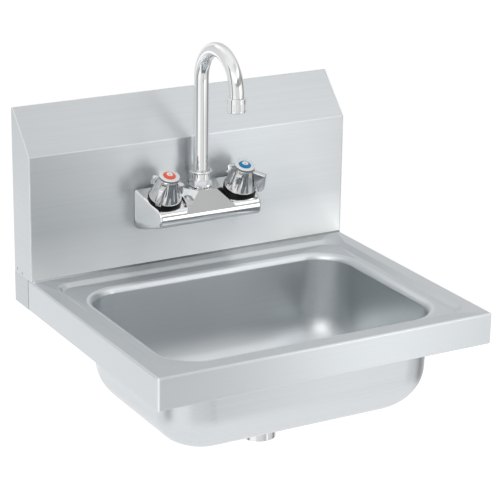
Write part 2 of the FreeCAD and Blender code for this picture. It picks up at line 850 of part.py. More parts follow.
def make_handle():
    lip_top = skirt_height + skirt_lip_height
    crown_foot = crown_height - crown_band
    outside = revolved([(0, skirt_height), (skirt_lip_radius, skirt_height), (skirt_lip_radius, lip_top),
                        (skirt_radius, lip_top), (crown_radius, crown_foot),
                        (crown_radius, crown_height), (0, crown_height)])
    for k in range(3):
        short = wing(wing_reach, wing_foot_reach, wing_shoulder, wing_foot, wing_width, wing_corner)
        short.rotate(ORIGIN, Z_AXIS, 315 + 90 * k)
        outside = outside.fuse(short)
    lever = wing(lever_reach, lever_foot_reach, lever_shoulder, lever_foot, lever_width, lever_corner)
    lever.rotate(ORIGIN, Z_AXIS, 225)
    outside = outside.fuse(lever)
    roof = stem_height + hub_web
    lean = (skirt_radius - crown_radius) / (crown_foot - lip_top)
    inner_top = crown_foot - handle_wall * 2
    hollow = revolved([(0, skirt_height - overrun), (skirt_radius - handle_wall, skirt_height - overrun),
                       (skirt_radius - handle_wall, lip_top),
                       (crown_radius - handle_wall + lean * handle_wall * 2, inner_top), (0, inner_top)])
    hub = ring(stem_radius + hub_wall, stem_radius + running_fit, hub_bottom, stem_height)
    handle = outside.cut(hollow).cut(cylinder(stem_radius + hub_wall, hub_bottom, roof)).fuse(hub)
    handle = handle.fuse(cylinder(crown_radius - handle_wall, stem_height, roof))
    handle = handle.cut(cylinder(cap_groove_radius, roof, crown_height + overrun))
    screw_hole = cylinder(screw_radius + running_fit, stem_height - overrun, roof + overrun)
    return handle.cut(screw_hole).removeSplitter()


def make_index_cap():
    """Round cap on the handle's crown, with a groove under its rim and a hole for the button."""
    bottom = handle_height - cap_thickness
    spigot_bottom = stem_height + hub_web + face_gap
    edge = cap_thickness * cap_edge_share
    return revolved([(index_ring_inner, spigot_bottom), (cap_groove_radius - running_fit, spigot_bottom),
                     (cap_groove_radius - running_fit, bottom), (cap_radius, bottom),
                     (cap_radius, handle_height - edge), (cap_radius - edge, handle_height),
                     (index_ring_radius, handle_height),
                     (index_ring_radius, handle_height - index_ring_depth),
                     (index_ring_inner, handle_height - index_ring_depth)])


def make_index_ring():
    """Coloured ring that rises from the cap to the button as a cone."""
    bottom = handle_height - index_ring_depth
    top = handle_height + index_rise
    outer = index_ring_radius - running_fit
    return revolved([(index_ring_inner, bottom), (outer, bottom), (outer, handle_height + index_ring_edge),
                     (index_ring_inner + index_ring_edge, top), (index_ring_inner, top)])


def make_index_button():
    return ring(index_ring_inner - running_fit, button_hole_radius, handle_height - button_depth,
                handle_height + index_rise)


def make_handle_screw():
    head_bottom = stem_height + hub_web
    shank = cylinder(screw_radius, head_bottom - screw_length, head_bottom)
    head = cylinder(screw_head_radius, head_bottom, head_bottom + screw_head_height)
    slot = box(-screw_head_radius, screw_head_radius, -screw_slot / 2, screw_slot / 2,
               head_bottom + screw_head_height / 2, head_bottom + screw_head_height + overrun)
    return head.cut(slot).fuse(shank).removeSplitter()


def make_shroud():
    """Dark ring between the body's sloping top and the handle's skirt."""
    return ring(shroud_radius, shroud_inner_radius, 0, skirt_height - face_gap)


# Spout
def make_spout_tube():
    """Gooseneck: upright leg, half turn towards the front, short tail."""
    bend_radius = spout_reach / 2
    foot_z = body_top - spout_foot
    top_z = deck_z + spout_top_centre
    inner = tube_radius - tube_wall
    leg = ring(tube_radius, inner, foot_z, top_z, 0, spout_y)
    tail = ring(tube_radius, inner, top_z - spout_tail, top_z, 0, spout_y - spout_reach)
    section = Part.Face([Part.Wire(Part.makeCircle(tube_radius, Vector(0, spout_y, top_z), Z_AXIS)),
                         Part.Wire(Part.makeCircle(inner, Vector(0, spout_y, top_z), Z_AXIS))])
    bend = section.revolve(Vector(0, spout_y - bend_radius, top_z), X_AXIS, 180)
    collar_z = body_top + collar_rise
    collar = ring(socket_radius - face_gap, tube_radius - tube_wall / 2, collar_z,
                  collar_z + collar_thickness, 0, spout_y)
    return leg.fuse(bend).fuse(tail).fuse(collar).removeSplitter()


def make_spout_o_rings():
    centre = (tube_radius + socket_radius) / 2
    rings = []
    for k in range(2):
        z = body_top - spout_foot + o_ring_pitch * (k + 1)
        rings.append(Part.makeTorus(centre, o_ring_radius, Vector(0, spout_y, z), Z_AXIS))
    return Part.makeCompound(rings)


def nut_top():
    return body_top + nut_lift + nut_height + nut_rim_height


def make_spout_bushing():
    """Plastic bearing between the socket and the tube, held down by the nut."""
    bottom = body_top + collar_rise + collar_thickness + face_gap
    boss_top = body_top + boss_height
    top = nut_top() - nut_top_wall - face_gap
    bore = tube_radius + running_fit
    bush = ring(socket_radius - running_fit, bore, bottom, top, 0, spout_y)
    return bush.fuse(ring(boss_radius - running_fit, bore, boss_top, top, 0, spout_y)).removeSplitter()


def make_spout_nut():
    """Hexagon nut with a round neck and a thin rim, dished around the tube."""
    bottom = body_top + nut_lift
    top = nut_top()
    hex_top = top - nut_rim_height - nut_neck_height
    nut = chamfered_nut(nut_flats, bottom, hex_top)
    nut.rotate(ORIGIN, Z_AXIS, nut_turn)
    nut = nut.fuse(cylinder(nut_neck_radius, hex_top - overrun, top))
    rim_step = nut_rim_height / 4
    rim = revolved([(0, top - nut_rim_height), (nut_rim_radius - rim_step, top - nut_rim_height),
                    (nut_rim_radius, top - nut_rim_height + rim_step), (nut_rim_radius, top - rim_step),
                    (nut_rim_radius - rim_step, top), (0, top)])
    nut = nut.fuse(rim)
    nut = nut.cut(cylinder(boss_radius + running_fit, bottom - overrun, top - nut_top_wall))
    nut = nut.cut(cylinder(tube_radius + running_fit, bottom - overrun, top + overrun))
    nut = nut.cut(revolved([(0, top - nut_dish_depth), (nut_dish_foot, top - nut_dish_depth),
                            (nut_dish_radius, top), (nut_dish_radius, top + overrun), (0, top + overrun)]))
    nut.translate(Vector(0, spout_y, 0))
    return nut.removeSplitter()


# Aerator
def aerator_top():
    return deck_z + spout_top_centre - spout_tail + aerator_entry


def make_aerator_housing():
    top = aerator_top()
    bottom = top - aerator_height
    seat = top - aerator_entry
    throat = seat - aerator_washer_thickness
    chamfer = aerator_lip / 2
    housing = revolved([(aerator_throat_radius, bottom), (aerator_radius - chamfer, bottom),
                        (aerator_radius, bottom + chamfer), (aerator_radius, top - chamfer),
                        (aerator_radius - chamfer, top), (tube_radius + running_fit, top),
                        (tube_radius + running_fit, seat), (aerator_bore_radius, seat),
                        (aerator_bore_radius, bottom + aerator_lip),
                        (aerator_throat_radius, bottom + aerator_lip)])
    for k in range(flute_count):
        turn = 2 * math.pi * k / flute_count
        reach = aerator_radius + aerator_flute_radius / 2
        flute = cylinder(aerator_flute_radius, bottom + aerator_lip * 2, throat + aerator_washer_thickness,
                         reach * math.cos(turn), reach * math.sin(turn))
        housing = housing.cut(flute)
    housing.translate(Vector(0, spout_y - spout_reach, 0))
    return housing


def make_aerator_washer():
    seat = aerator_top() - aerator_entry
    return ring(aerator_bore_radius - running_fit, tube_radius - tube_wall, seat - aerator_washer_thickness,
                seat, 0, spout_y - spout_reach)


def make_aerator_insert():
    bottom = aerator_top() - aerator_height + aerator_lip
    top = aerator_top() - aerator_entry - aerator_washer_thickness
    y = spout_y - spout_reach
    insert = cylinder(aerator_bore_radius - running_fit, bottom, top, 0, y)
    insert = insert.cut(cylinder(aerator_throat_radius - aerator_lip, bottom + aerator_insert_height,
                                 top + overrun, 0, y))
    for ring_number in range(1, 3):
        count = 6 * ring_number
        for k in range(count):
            turn = 2 * math.pi * k / count
            x = aerator_insert_pitch * ring_number * math.cos(turn)
            dy = aerator_insert_pitch * ring_number * math.sin(turn)
            insert = insert.cut(cylinder(aerator_insert_hole, bottom - overrun, top + overrun, x, y + dy))
    return insert


def build():
    parts = {
        "deck": make_deck(),
        "bowl": make_bowl(),
        "backsplash": make_backsplash(),
        "splash_end_left": make_splash_end(),
        "splash_end_right": mirrored(make_splash_end()),
        "rear_skirt_left": make_rear_skirt(),
        "rear_skirt_right": mirrored(make_rear_skirt()),
        "wall_bracket": make_wall_bracket(),
        "strainer_body": make_strainer_body(),
        "strainer_gasket": make_strainer_gasket(),
        "strainer_washer": make_strainer_washer(),
        "strainer_locknut": make_strainer_locknut(),
        "strainer_basket": make_strainer_basket(),
        "basket_stopper": make_basket_stopper(),
        "tap_body": make_tap_body(),
        "tap_gasket": make_tap_gasket(),
        "hot_inlet_shank": make_inlet_shank(-inlet_spacing / 2),
        "cold_inlet_shank": make_inlet_shank(inlet_spacing / 2),
        "shank_washers": make_shank_washers(),
        "shank_locknuts": make_shank_locknuts(),
        "spout_tube": make_spout_tube(),
        "spout_o_rings": make_spout_o_rings(),
        "spout_bushing": make_spout_bushing(),
        "spout_nut": make_spout_nut(),
        "aerator_housing": make_aerator_housing(),
        "aerator_washer": make_aerator_washer(),
        "aerator_insert": make_aerator_insert(),
    }
    valve_parts = {
        "seat_seal": make_seat_seal(),
        "valve_body": make_valve_body(),
        "fixed_disc": make_fixed_disc(),
        "turning_disc": make_turning_disc(),
        "valve_stem": make_stem(),
        "shroud": make_shroud(),
        "handle": make_handle(),
        "index_cap": make_index_cap(),
        "index_ring": make_index_ring(),
        "index_button": make_index_button(),
        "handle_screw": make_handle_screw(),
    }
    for name, shape in valve_parts.items():
        parts["hot_" + name] = at_valve(shape)
        parts["cold_" + name] = mirrored(at_valve(shape))
    return parts


def main():
    os.makedirs("parts", exist_ok=True)
    for name, shape in build().items():
        shape.exportStep("parts/" + name + ".step")
        print(name, len(shape.Solids), shape.isValid(), round(shape.Volume))


main()
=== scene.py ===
"""Wall-hung steel hand basin with a splash-mounted gooseneck tap.

Metres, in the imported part's frame: X to the viewer's right, +Y towards the wall, +Z up, with the
origin at the middle of the wall bracket's bolt row on the wall plane.
"""
import math

import bmesh
import bpy
from mathutils import Matrix, Vector


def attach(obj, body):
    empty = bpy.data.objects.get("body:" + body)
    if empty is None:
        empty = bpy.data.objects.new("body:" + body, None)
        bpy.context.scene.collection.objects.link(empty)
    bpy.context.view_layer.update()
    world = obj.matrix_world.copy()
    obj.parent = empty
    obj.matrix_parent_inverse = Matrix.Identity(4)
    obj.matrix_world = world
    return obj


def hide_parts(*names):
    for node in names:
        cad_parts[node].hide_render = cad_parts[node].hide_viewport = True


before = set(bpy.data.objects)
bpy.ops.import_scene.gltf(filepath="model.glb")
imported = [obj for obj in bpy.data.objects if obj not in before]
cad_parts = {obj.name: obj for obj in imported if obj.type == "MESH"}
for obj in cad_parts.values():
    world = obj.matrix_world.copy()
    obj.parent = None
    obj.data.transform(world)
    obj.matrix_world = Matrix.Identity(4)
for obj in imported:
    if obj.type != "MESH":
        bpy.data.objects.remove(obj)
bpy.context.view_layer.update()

MM = 0.001
INCH = 25.4 * MM

# Sizes of the basin
WIDTH = 17.125 * INCH
DEPTH = 15.25 * INCH
APRON = 1.5 * INCH
SPLASH_DEPTH = 2.0 * INCH
BOWL_LENGTH = 14.0 * INCH
BOWL_WIDTH = 10.0 * INCH
BOWL_DEPTH = 5.0 * INCH
BOWL_CORNER = 1.9 * INCH
SHEET = 1.2 * MM
FOLD = 2.4 * MM
HEM = 9.5 * MM
HEM_FOLD = 0.8 * MM
DECK_TUCK = 11.8 * MM
RECESS_SIDE = 17.5 * MM
RECESS_BACK = 17.2 * MM
RECESS_FRONT = 20.0 * MM
RECESS_SLOPE = 8.0 * MM
RECESS_DEPTH = 5.0 * MM
RECESS_CORNER = 22.0 * MM
BOWL_BACK = 46.6 * MM
RIM_MARGIN = 2.0 * MM
LEAST_CORNER = 0.3 * MM
LIP = 8.0 * MM
WALL_DRAFT = 0.6 * MM
FOOT_CORNER = 51.0 * MM
FLOOR_RADIUS = 55.0 * MM
FLOOR_CORNER = 17.0 * MM
DRAIN_HOLE = 25.4 * MM

# Sizes of the tap
VALVE_SPACING = 104.0 * MM
VALVE_FORWARD = 26.2 * MM
SLOPE = math.radians(21)
BODY_GASKET = 0.8 * MM
BODY_TOP_RISE = 98.0 * MM
SPOUT_FORWARD = 21.7 * MM
SPOUT_REACH = 88.0 * MM
SPOUT_CENTRE_RISE = 233.0 * MM
SPOUT_SUNK = 12.5 * MM
SPOUT_TAIL = 9.0 * MM
TUBE_RADIUS = 9.0 * MM
TUBE_WALL = 1.0 * MM
TUBE_GAP = 0.3 * MM
NUT_FLATS = 24.8 * MM
NUT_HEIGHT = 17.9 * MM
NUT_LIFT = 0.3 * MM
NUT_RIM_RADIUS = 14.6 * MM
NUT_RIM_HEIGHT = 2.4 * MM
NUT_NECK_RADIUS = 12.6 * MM
NUT_NECK_HEIGHT = 8.4 * MM
NUT_TOP_WALL = 4.6 * MM
NUT_DISH_RADIUS = 11.6 * MM
NUT_DISH_FOOT = 10.0 * MM
NUT_DISH_DEPTH = 2.0 * MM
BOSS_RADIUS = 11.45 * MM
HANDLE_HEIGHT = 37.0 * MM
CAP_THICKNESS = 0.8 * MM
CAP_RADIUS = 12.8 * MM
CAP_LIFT = 0.3 * MM
CAP_SEAL = 0.5 * MM
CAP_SEAL_BULGE = 0.15 * MM
GROOVE_RADIUS = 11.5 * MM
CROWN_RADIUS = 13.0 * MM
CROWN_HEIGHT = 34.0 * MM
CROWN_BAND = 1.7 * MM
SKIRT_HEIGHT = 5.4 * MM
SKIRT_RADIUS = 19.8 * MM
SKIRT_LIP_RADIUS = 20.2 * MM
SKIRT_LIP_HEIGHT = 1.4 * MM
HANDLE_WALL = 1.8 * MM
HUB_RADIUS = 7.2 * MM
HUB_BOTTOM = 19.0 * MM
STEM_RADIUS = 4.05 * MM
STEM_HEIGHT = 29.0 * MM
ROOF_HEIGHT = 31.2 * MM
SCREW_HOLE = 1.65 * MM
INDEX_RADIUS = 7.55 * MM
INDEX_INNER = 3.9 * MM
INDEX_RISE = 2.2 * MM
BUTTON_HOLE = 1.3 * MM
INDEX_SEAT = 0.5 * MM
INDEX_SEAT_RIM = 0.35 * MM
BUTTON_DEPTH = 2.7 * MM
WING_WIDTH = 5.6 * MM
WING_REACH = 19.8 * MM
WING_SHOULDER = 30.6 * MM
WING_FOOT_REACH = 20.9 * MM
WING_FOOT = 18.5 * MM
WING_CORNER = 1.4 * MM
LEVER_WIDTH = 7.2 * MM
LEVER_REACH = 28.6 * MM
LEVER_SHOULDER = 32.2 * MM
LEVER_FOOT_REACH = 30.2 * MM
LEVER_FOOT = 6.4 * MM
LEVER_CORNER = 6.6 * MM
FIT = 0.05 * MM

# Places worked out from the sizes
DECK_Z = -164.375 * MM
SPLASH_FACE = -SPLASH_DEPTH
DECK_BACK = SPLASH_FACE + DECK_TUCK
LEDGE_Z = DECK_Z - RECESS_DEPTH
FLOOR_Z = LEDGE_Z - BOWL_DEPTH
BOWL_Y = SPLASH_FACE - BOWL_BACK - BOWL_WIDTH / 2
LIP_OUT = LIP * math.sin(math.radians(45))
BODY_BACK = SPLASH_FACE - BODY_GASKET
BODY_TOP = DECK_Z + BODY_TOP_RISE
SPOUT_Y = SPLASH_FACE - SPOUT_FORWARD
VALVE_Y = SPLASH_FACE - VALVE_FORWARD
VALVE_Z = BODY_TOP + (VALVE_Y - BODY_BACK) * math.tan(SLOPE)

# Segments of round forms
CORNER_STEPS = 14
RECESS_STEPS = 14
FOLD_STEPS = 6
HEM_STEPS = 3
LIP_STEPS = 8
FLOOR_STEPS = 16
NUT_SEGMENTS = 180
TUBE_SEGMENTS = 56
ARCH_STEPS = 48
CONE_STEPS = 12
LATHE_SEGMENTS = 72

# Least angle of a mesh's crease, in degrees, and of a fold or edge that gets rounded
CREASE = 35
FOLD_ANGLE = math.radians(30)


# Meshes
def piece(name, mesh, finish, body, slot, *replaced):
    """A piece of the object that rides on a body and takes the place of CAD nodes."""
    thing = bpy.data.objects.new(name, mesh)
    bpy.context.scene.collection.objects.link(thing)
    mesh.materials.clear()
    mesh.materials.append(finish)
    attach(thing, body)
    if replaced:
        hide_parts(*replaced)
    return thing


def finished_mesh(bm, name, crease=CREASE):
    """Mesh from bm, smooth but for its creases, which frees bm."""
    mesh = bpy.data.meshes.new(name)
    bm.to_mesh(mesh)
    bm.free()
    mesh.polygons.foreach_set("use_smooth", [True] * len(mesh.polygons))
    mesh.set_sharp_from_angle(angle=math.radians(crease))
    return mesh


def closed_mesh(name, build, crease=CREASE):
    """Mesh made by build(bm), with outward normals."""
    bm = bmesh.new()
    build(bm)
    bmesh.ops.recalc_face_normals(bm, faces=bm.faces)
    return finished_mesh(bm, name, crease)


def cad_copy(node):
    """Copy of a CAD node's mesh with its coplanar faces joined."""
    bm = bmesh.new()
    bm.from_mesh(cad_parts[node].data)
    bmesh.ops.remove_doubles(bm, verts=bm.verts, dist=0.002 * MM)
    bmesh.ops.dissolve_limit(bm, angle_limit=math.radians(1), verts=bm.verts, edges=bm.edges)
    return bm


def even_normals(thing):
    """Lets the large flat faces keep their flat shading beside small rounded ones."""
    modifier = thing.modifiers.new("even_normals", "WEIGHTED_NORMAL")
    modifier.keep_sharp = True
    modifier.weight = 100
    return thing


def dressed(node, finish, body, slot, width, segments=3):
    """Copy of a CAD node whose edges are rounded by a bevel of this width."""
    name = node + "_shell"
    thing = piece(name, finished_mesh(cad_copy(node), name), finish, body, slot, node)
    modifier = thing.modifiers.new("rounded", "BEVEL")
    modifier.width = width
    modifier.segments = segments
    modifier.limit_method = "ANGLE"
    modifier.angle_limit = FOLD_ANGLE
    modifier.miter_outer = "MITER_ARC"
    modifier.use_clamp_overlap = True
    return even_normals(thing)


def sheet_piece(node, finish, along, width, shine=1.0):
    """Copy of a CAD sheet with rounded edges painted bright as highlights, and its grain along an axis."""
    bm = cad_copy(node)
    folds = [edge for edge in bm.edges
             if len(edge.link_faces) == 2 and edge.calc_face_angle() > FOLD_ANGLE]
    bmesh.ops.bevel(bm, geom=folds, offset=width, segments=3, profile=0.5, affect="EDGES",
                    clamp_overlap=True)
    name = node + "_shell"
    thing = piece(name, finished_mesh(bm, name), finish, "basin", "basin_steel", node)
    return even_normals(paint_fold_highlights(grain_uv(thing, along), shine))


def quarter_turn(steps):
    """Angles from 0 to a quarter turn."""
    return [math.radians(90 * k / steps) for k in range(steps + 1)]


def full_turn(steps):
    """Angles round a circle, without the last, which is the first again."""
    return [2 * math.pi * k / steps for k in range(steps)]


def add_loops(bm, loops, ring=False):
    """Quads between neighbouring loops of equally many points, and from last to first in a ring."""
    rows = [[bm.verts.new(p) for p in loop] for loop in loops]
    count = len(rows[0])
    pairs = list(zip(rows, rows[1:]))
    if ring:
        pairs.append((rows[-1], rows[0]))
    for low, high in pairs:
        for k in range(count):
            m = (k + 1) % count
            bm.faces.new((low[k], low[m], high[m], high[k]))
    return rows


def add_lathe(bm, profile, segments=LATHE_SEGMENTS):
    """Solid of revolution about the upright axis. Points of radius 0 close the profile."""
    rows = []
    for radius, z in profile:
        turns = full_turn(segments) if radius > 0 else [0]
        rows.append([bm.verts.new((radius * math.cos(a), radius * math.sin(a), z)) for a in turns])
    pairs = list(zip(rows, rows[1:]))
    if profile[0][0] != 0:
        pairs.append((rows[-1], rows[0]))
    for low, high in pairs:
        for k in range(segments):
            m = (k + 1) % segments
            corners = [low[k % len(low)], low[m % len(low)], high[m % len(high)], high[k % len(high)]]
            distinct = list(dict.fromkeys(corners))
            if len(distinct) > 2:
                bm.faces.new(distinct)


def arc(across, up, radius, start, end, steps):
    """Points of an arc about a place in a profile, from one angle to another in degrees."""
    points = []
    for k in range(steps + 1):
        a = math.radians(start + (end - start) * k / steps)
        points.append((across + radius * math.cos(a), up + radius * math.sin(a)))
    return points


def outline(half_x, half_y, radius, centre_y, z):
    """Points round a rounded rectangle, as many for every size."""
    points = []
    for k, (sx, sy) in enumerate(((1, 1), (-1, 1), (-1, -1), (1, -1))):
        cx = sx * (half_x - radius)
        cy = centre_y + sy * (half_y - radius)
        for step in range(CORNER_STEPS + 1):
            a = math.radians(90 * (k + step / CORNER_STEPS))
            points.append(Vector((cx + radius * math.cos(a), cy + radius * math.sin(a), z)))
    return points


# Finishes
# Indices of the Mix node's two inputs and its result, for numbers and for colours
MIX_SOCKETS = {"FLOAT": (2, 3, 0), "RGBA": (6, 7, 2)}
# Nearly all of a noise lies between these values
NOISE_LOW = 0.3
NOISE_HIGH = 0.7


class Finish:
    """A material's node tree, written a node at a time."""

    def __init__(self, name):
        self.material = bpy.data.materials.new(name)
        self.material.use_nodes = True
        self.nodes = self.material.node_tree.nodes
        self.links = self.material.node_tree.links
        self.shader = self.nodes["Principled BSDF"]

    def add(self, kind, **settings):
        node = self.nodes.new(kind)
        for key, value in settings.items():
            if key in node.inputs:
                node.inputs[key].default_value = value
            else:
                setattr(node, key, value)
        return node

    def join(self, source, target):
        """Feeds a socket from another socket or with a constant."""
        if isinstance(source, bpy.types.NodeSocket):
            self.links.new(source, target)
        else:
            target.default_value = source

    def set(self, **values):
        for key, value in values.items():
            self.shader.inputs[key.replace("_", " ")].default_value = value

    def object_place(self, scale):
        """Object coordinates, scaled along each axis."""
        place = self.add("ShaderNodeTexCoord")
        mapping = self.add("ShaderNodeMapping")
        mapping.inputs["Scale"].default_value = scale
        self.join(place.outputs["Object"], mapping.inputs["Vector"])
        return mapping.outputs["Vector"]

    def noise(self, vector, scale, detail, roughness=0.5):
        node = self.add("ShaderNodeTexNoise")
        node.inputs["Scale"].default_value = scale
        node.inputs["Detail"].default_value = detail
        node.inputs["Roughness"].default_value = roughness
        self.join(vector, node.inputs["Vector"])
        return node.outputs["Fac"]

    def ramp(self, value, low, high, start=0.0, end=1.0):
        """Value spread from low to high between two thresholds."""
        node = self.add("ShaderNodeMapRange")
        node.inputs["From Min"].default_value = start
        node.inputs["From Max"].default_value = end
        node.inputs["To Min"].default_value = low
        node.inputs["To Max"].default_value = high
        self.join(value, node.inputs["Value"])
        return node.outputs["Result"]

    def calculate(self, operation, first, second):
        node = self.add("ShaderNodeMath", operation=operation)
        self.join(first, node.inputs[0])
        self.join(second, node.inputs[1])
        return node.outputs[0]

    def mix(self, kind, share, low, high):
        """Blend of two numbers (FLOAT) or colours (RGBA)."""
        node = self.add("ShaderNodeMix", data_type=kind)
        first, second, result = MIX_SOCKETS[kind]
        self.join(share, node.inputs[0])
        self.join(low, node.inputs[first])
        self.join(high, node.inputs[second])
        return node.outputs[result]

    def spread(self, noise, low, high):
        """Noise stretched to run from low to high."""
        return self.ramp(noise, low, high, NOISE_LOW, NOISE_HIGH)

    def tint(self, value, dark, light):
        """Colour between two tones."""
        return self.mix("RGBA", value, (*dark, 1), (*light, 1))

    def bump(self, height, strength, distance):
        node = self.add("ShaderNodeBump")
        node.inputs["Strength"].default_value = strength
        node.inputs["Distance"].default_value = distance
        self.join(height, node.inputs["Height"])
        self.join(node.outputs["Normal"], self.shader.inputs["Normal"])


# Scales of the steel's grain and of its broader streaks, along them and across
GRAIN_ALONG = 12.0
GRAIN_ACROSS = 1500.0
STREAK_ALONG = 4.0
STREAK_ACROSS = 420.0
CLOUD_SCALE = 9.0
# How far the streaks change the steel's tone, and the grain and the clouds its roughness
TONE_SPREAD = 0.02
GRAIN_ROUGHNESS = 0.02
CLOUD_ROUGHNESS = 0.012
DARK_CAST = (0.955, 1.0, 1.03)
LIGHT_CAST = (0.96, 1.0, 1.025)
# Colour of the painted highlights, and how far up the painted glow above a seam reaches
HIGHLIGHT_TONE = (0.86, 0.9, 0.92)
SEAM_GLOW_REACH = 60 * MM


def brushed_steel(name, along, tone=0.66, rough=0.38, drawn=0.9, seam=None, highlight_tone=HIGHLIGHT_TONE):
    """Brushed sheet: fine grain and broader streaks that run along an axis (0 X, 1 Y, 2 Z).

    It turns to highlight_tone where the painted light map says, a painted highlight, and towards it
    near the height of a seam, if it has one, a painted glow that fades upwards.
    """
    finish = Finish(name)
    fine = [GRAIN_ACROSS] * 3
    fine[along] = GRAIN_ALONG
    broad = [STREAK_ACROSS] * 3
    broad[along] = STREAK_ALONG
    place = finish.object_place((1, 1, 1))
    grain = finish.noise(finish.object_place(fine), 1.0, 2.0)
    streak = finish.noise(finish.object_place(broad), 1.0, 3.0)
    cloud = finish.noise(place, CLOUD_SCALE, 2.0)
    dark = tuple(c * (1 - TONE_SPREAD) * tone for c in DARK_CAST)
    light = tuple(c * (1 + TONE_SPREAD) * tone for c in LIGHT_CAST)
    # Painted light: the map's share, and near a seam a glow fading upwards, blend the colour towards the
    # highlight tone
    polish = finish.add("ShaderNodeSeparateXYZ")
    finish.join(finish.add("ShaderNodeUVMap", uv_map="polish").outputs[0], polish.inputs[0])
    bright = polish.outputs["X"]
    if seam is not None:
        height = finish.add("ShaderNodeSeparateXYZ")
        finish.join(place, height.inputs[0])
        near = finish.ramp(height.outputs["Z"], 1, 0, seam, seam + SEAM_GLOW_REACH)
        bright = finish.calculate("MAXIMUM", bright, near)
    brushed = finish.tint(finish.spread(streak, 0, 1), dark, light)
    colour = finish.mix("RGBA", bright, brushed, (*highlight_tone, 1))
    finish.join(colour, finish.shader.inputs["Base Color"])
    texture = finish.spread(grain, -GRAIN_ROUGHNESS, GRAIN_ROUGHNESS)
    handled = finish.spread(cloud, rough - CLOUD_ROUGHNESS, rough + CLOUD_ROUGHNESS)
    finish.join(finish.calculate("ADD", texture, handled), finish.shader.inputs["Roughness"])
    finish.bump(grain, strength=0.06, distance=0.01 * MM)
    finish.set(Metallic=1.0, Anisotropic=drawn)
    tangent = finish.add("ShaderNodeTangent", direction_type="UV_MAP", uv_map="grain")
    finish.join(tangent.outputs[0], finish.shader.inputs["Tangent"])
    return finish.material


def grain_uv(thing, along):
    """UV map whose U runs across the grain, which is how brushed highlights are drawn out."""
    mesh = thing.data
    layer = mesh.uv_layers.new(name="grain")
    across = {0: (1, 2), 1: (0, 2), 2: (0, 1)}[along]
    for face in mesh.polygons:
        normal = face.normal
        v_axis = across[0] if abs(normal[across[0]]) < abs(normal[across[1]]) else across[1]
        for k in face.loop_indices:
            co = mesh.vertices[mesh.loops[k].vertex_index].co
            layer.data[k].uv = (co[v_axis], co[along])
    return thing


def paint_light_faces(thing, share):
    """UV map whose U is the share of painted light that share(face) gives each face."""
    layer = thing.data.uv_layers.new(name="polish")
    for face in thing.data.polygons:
        bright = share(face)
        for k in face.loop_indices:
            layer.data[k].uv = (bright, 0)
    return thing


# A face is wide where all that faces its way makes up this share of a sheet's surface
WIDE_SHARE = 0.02


def paint_fold_highlights(thing, shine):
    """Paints highlights on the narrow faces of folds and edges, and leaves the wide ones."""
    mesh = thing.data
    areas = {}
    for face in mesh.polygons:
        key = tuple(round(c, 1) for c in face.normal)
        areas[key] = areas.get(key, 0) + face.area
    enough = WIDE_SHARE * sum(areas.values())

    def narrow_share(face):
        key = tuple(round(c, 1) for c in face.normal)
        return shine if areas[key] < enough else 0.0

    return paint_light_faces(thing, narrow_share)


SMEAR_SCALE = 60.0
WAVE_SCALE = 35.0


def chrome(name, tone=0.85, rough=0.05):
    """Bright plating with a faint waviness and wiped-off smears."""
    finish = Finish(name)
    place = finish.object_place((1, 1, 1))
    smear = finish.noise(place, SMEAR_SCALE, 3.0, 0.6)
    wave = finish.noise(place, WAVE_SCALE, 1.0)
    smeared = (tone * 0.96, tone * 0.97, tone * 0.98)
    finish.join(finish.tint(smear, smeared, (tone, tone, tone)), finish.shader.inputs["Base Color"])
    finish.join(finish.ramp(smear, rough * 0.6, rough * 1.6, 0.35, 0.7), finish.shader.inputs["Roughness"])
    finish.bump(wave, strength=0.05, distance=0.3 * MM)
    finish.set(Metallic=1.0)
    return finish.material


# How much finer a moulded surface's texture is than its clouds of colour
CLOUD_RATIO = 12


def moulded(name, dark, light, rough, grain=400.0, depth=0.05, metallic=0.0, gleam=0.5):
    """Moulded or cast surface: slight colour change, fine texture."""
    finish = Finish(name)
    place = finish.object_place((1, 1, 1))
    speck = finish.noise(place, grain, 4.0, 0.6)
    cloud = finish.noise(place, grain / CLOUD_RATIO, 2.0)
    finish.join(finish.tint(cloud, dark, light), finish.shader.inputs["Base Color"])
    finish.join(finish.spread(speck, rough * 0.8, rough * 1.2), finish.shader.inputs["Roughness"])
    finish.bump(speck, strength=0.3, distance=depth * MM)
    finish.set(Metallic=metallic, Specular_IOR_Level=gleam)
    return finish.material


end_steel = brushed_steel("steel_grain_along_depth", 1)
bowl_steel = brushed_steel("steel_bowl", 0, 0.652, 0.35, drawn=0.6)
# The splash's steel has a painted glow that fades up from its seam with the deck
splash_steel = brushed_steel("steel_splash", 0, 0.69, seam=DECK_Z, highlight_tone=(0.98, 1.0, 1.0))
deck_steel = brushed_steel("steel_deck", 0, 0.5)
# Dark steel of the weld marks, and of the seam fillet, where it is painted shade
weld_and_shade_steel = brushed_steel("steel_weld_and_shade", 0, 0.24, 0.5)
# Darker copy of the basin's steel for the rear skirts: painted shade
shaded_skirt_steel = brushed_steel("steel_skirt", 1, 0.6)
bracket_steel = brushed_steel("bracket_steel", 0, 0.5, 0.4)
bright_chrome = chrome("bright_chrome")
# Darker copy of the tap's chrome for the handles: painted shade
shaded_handle_chrome = chrome("shaded_handle_chrome", 0.68)
drain_chrome = chrome("drain_chrome", 0.8, 0.12)
# Near-black, nearly gleamless shrouds under the handles: painted shade and dark reflection
shade_black_plastic = moulded("shroud_black", (0.003, 0.003, 0.0035), (0.006, 0.006, 0.0065), 0.4, gleam=0.12)
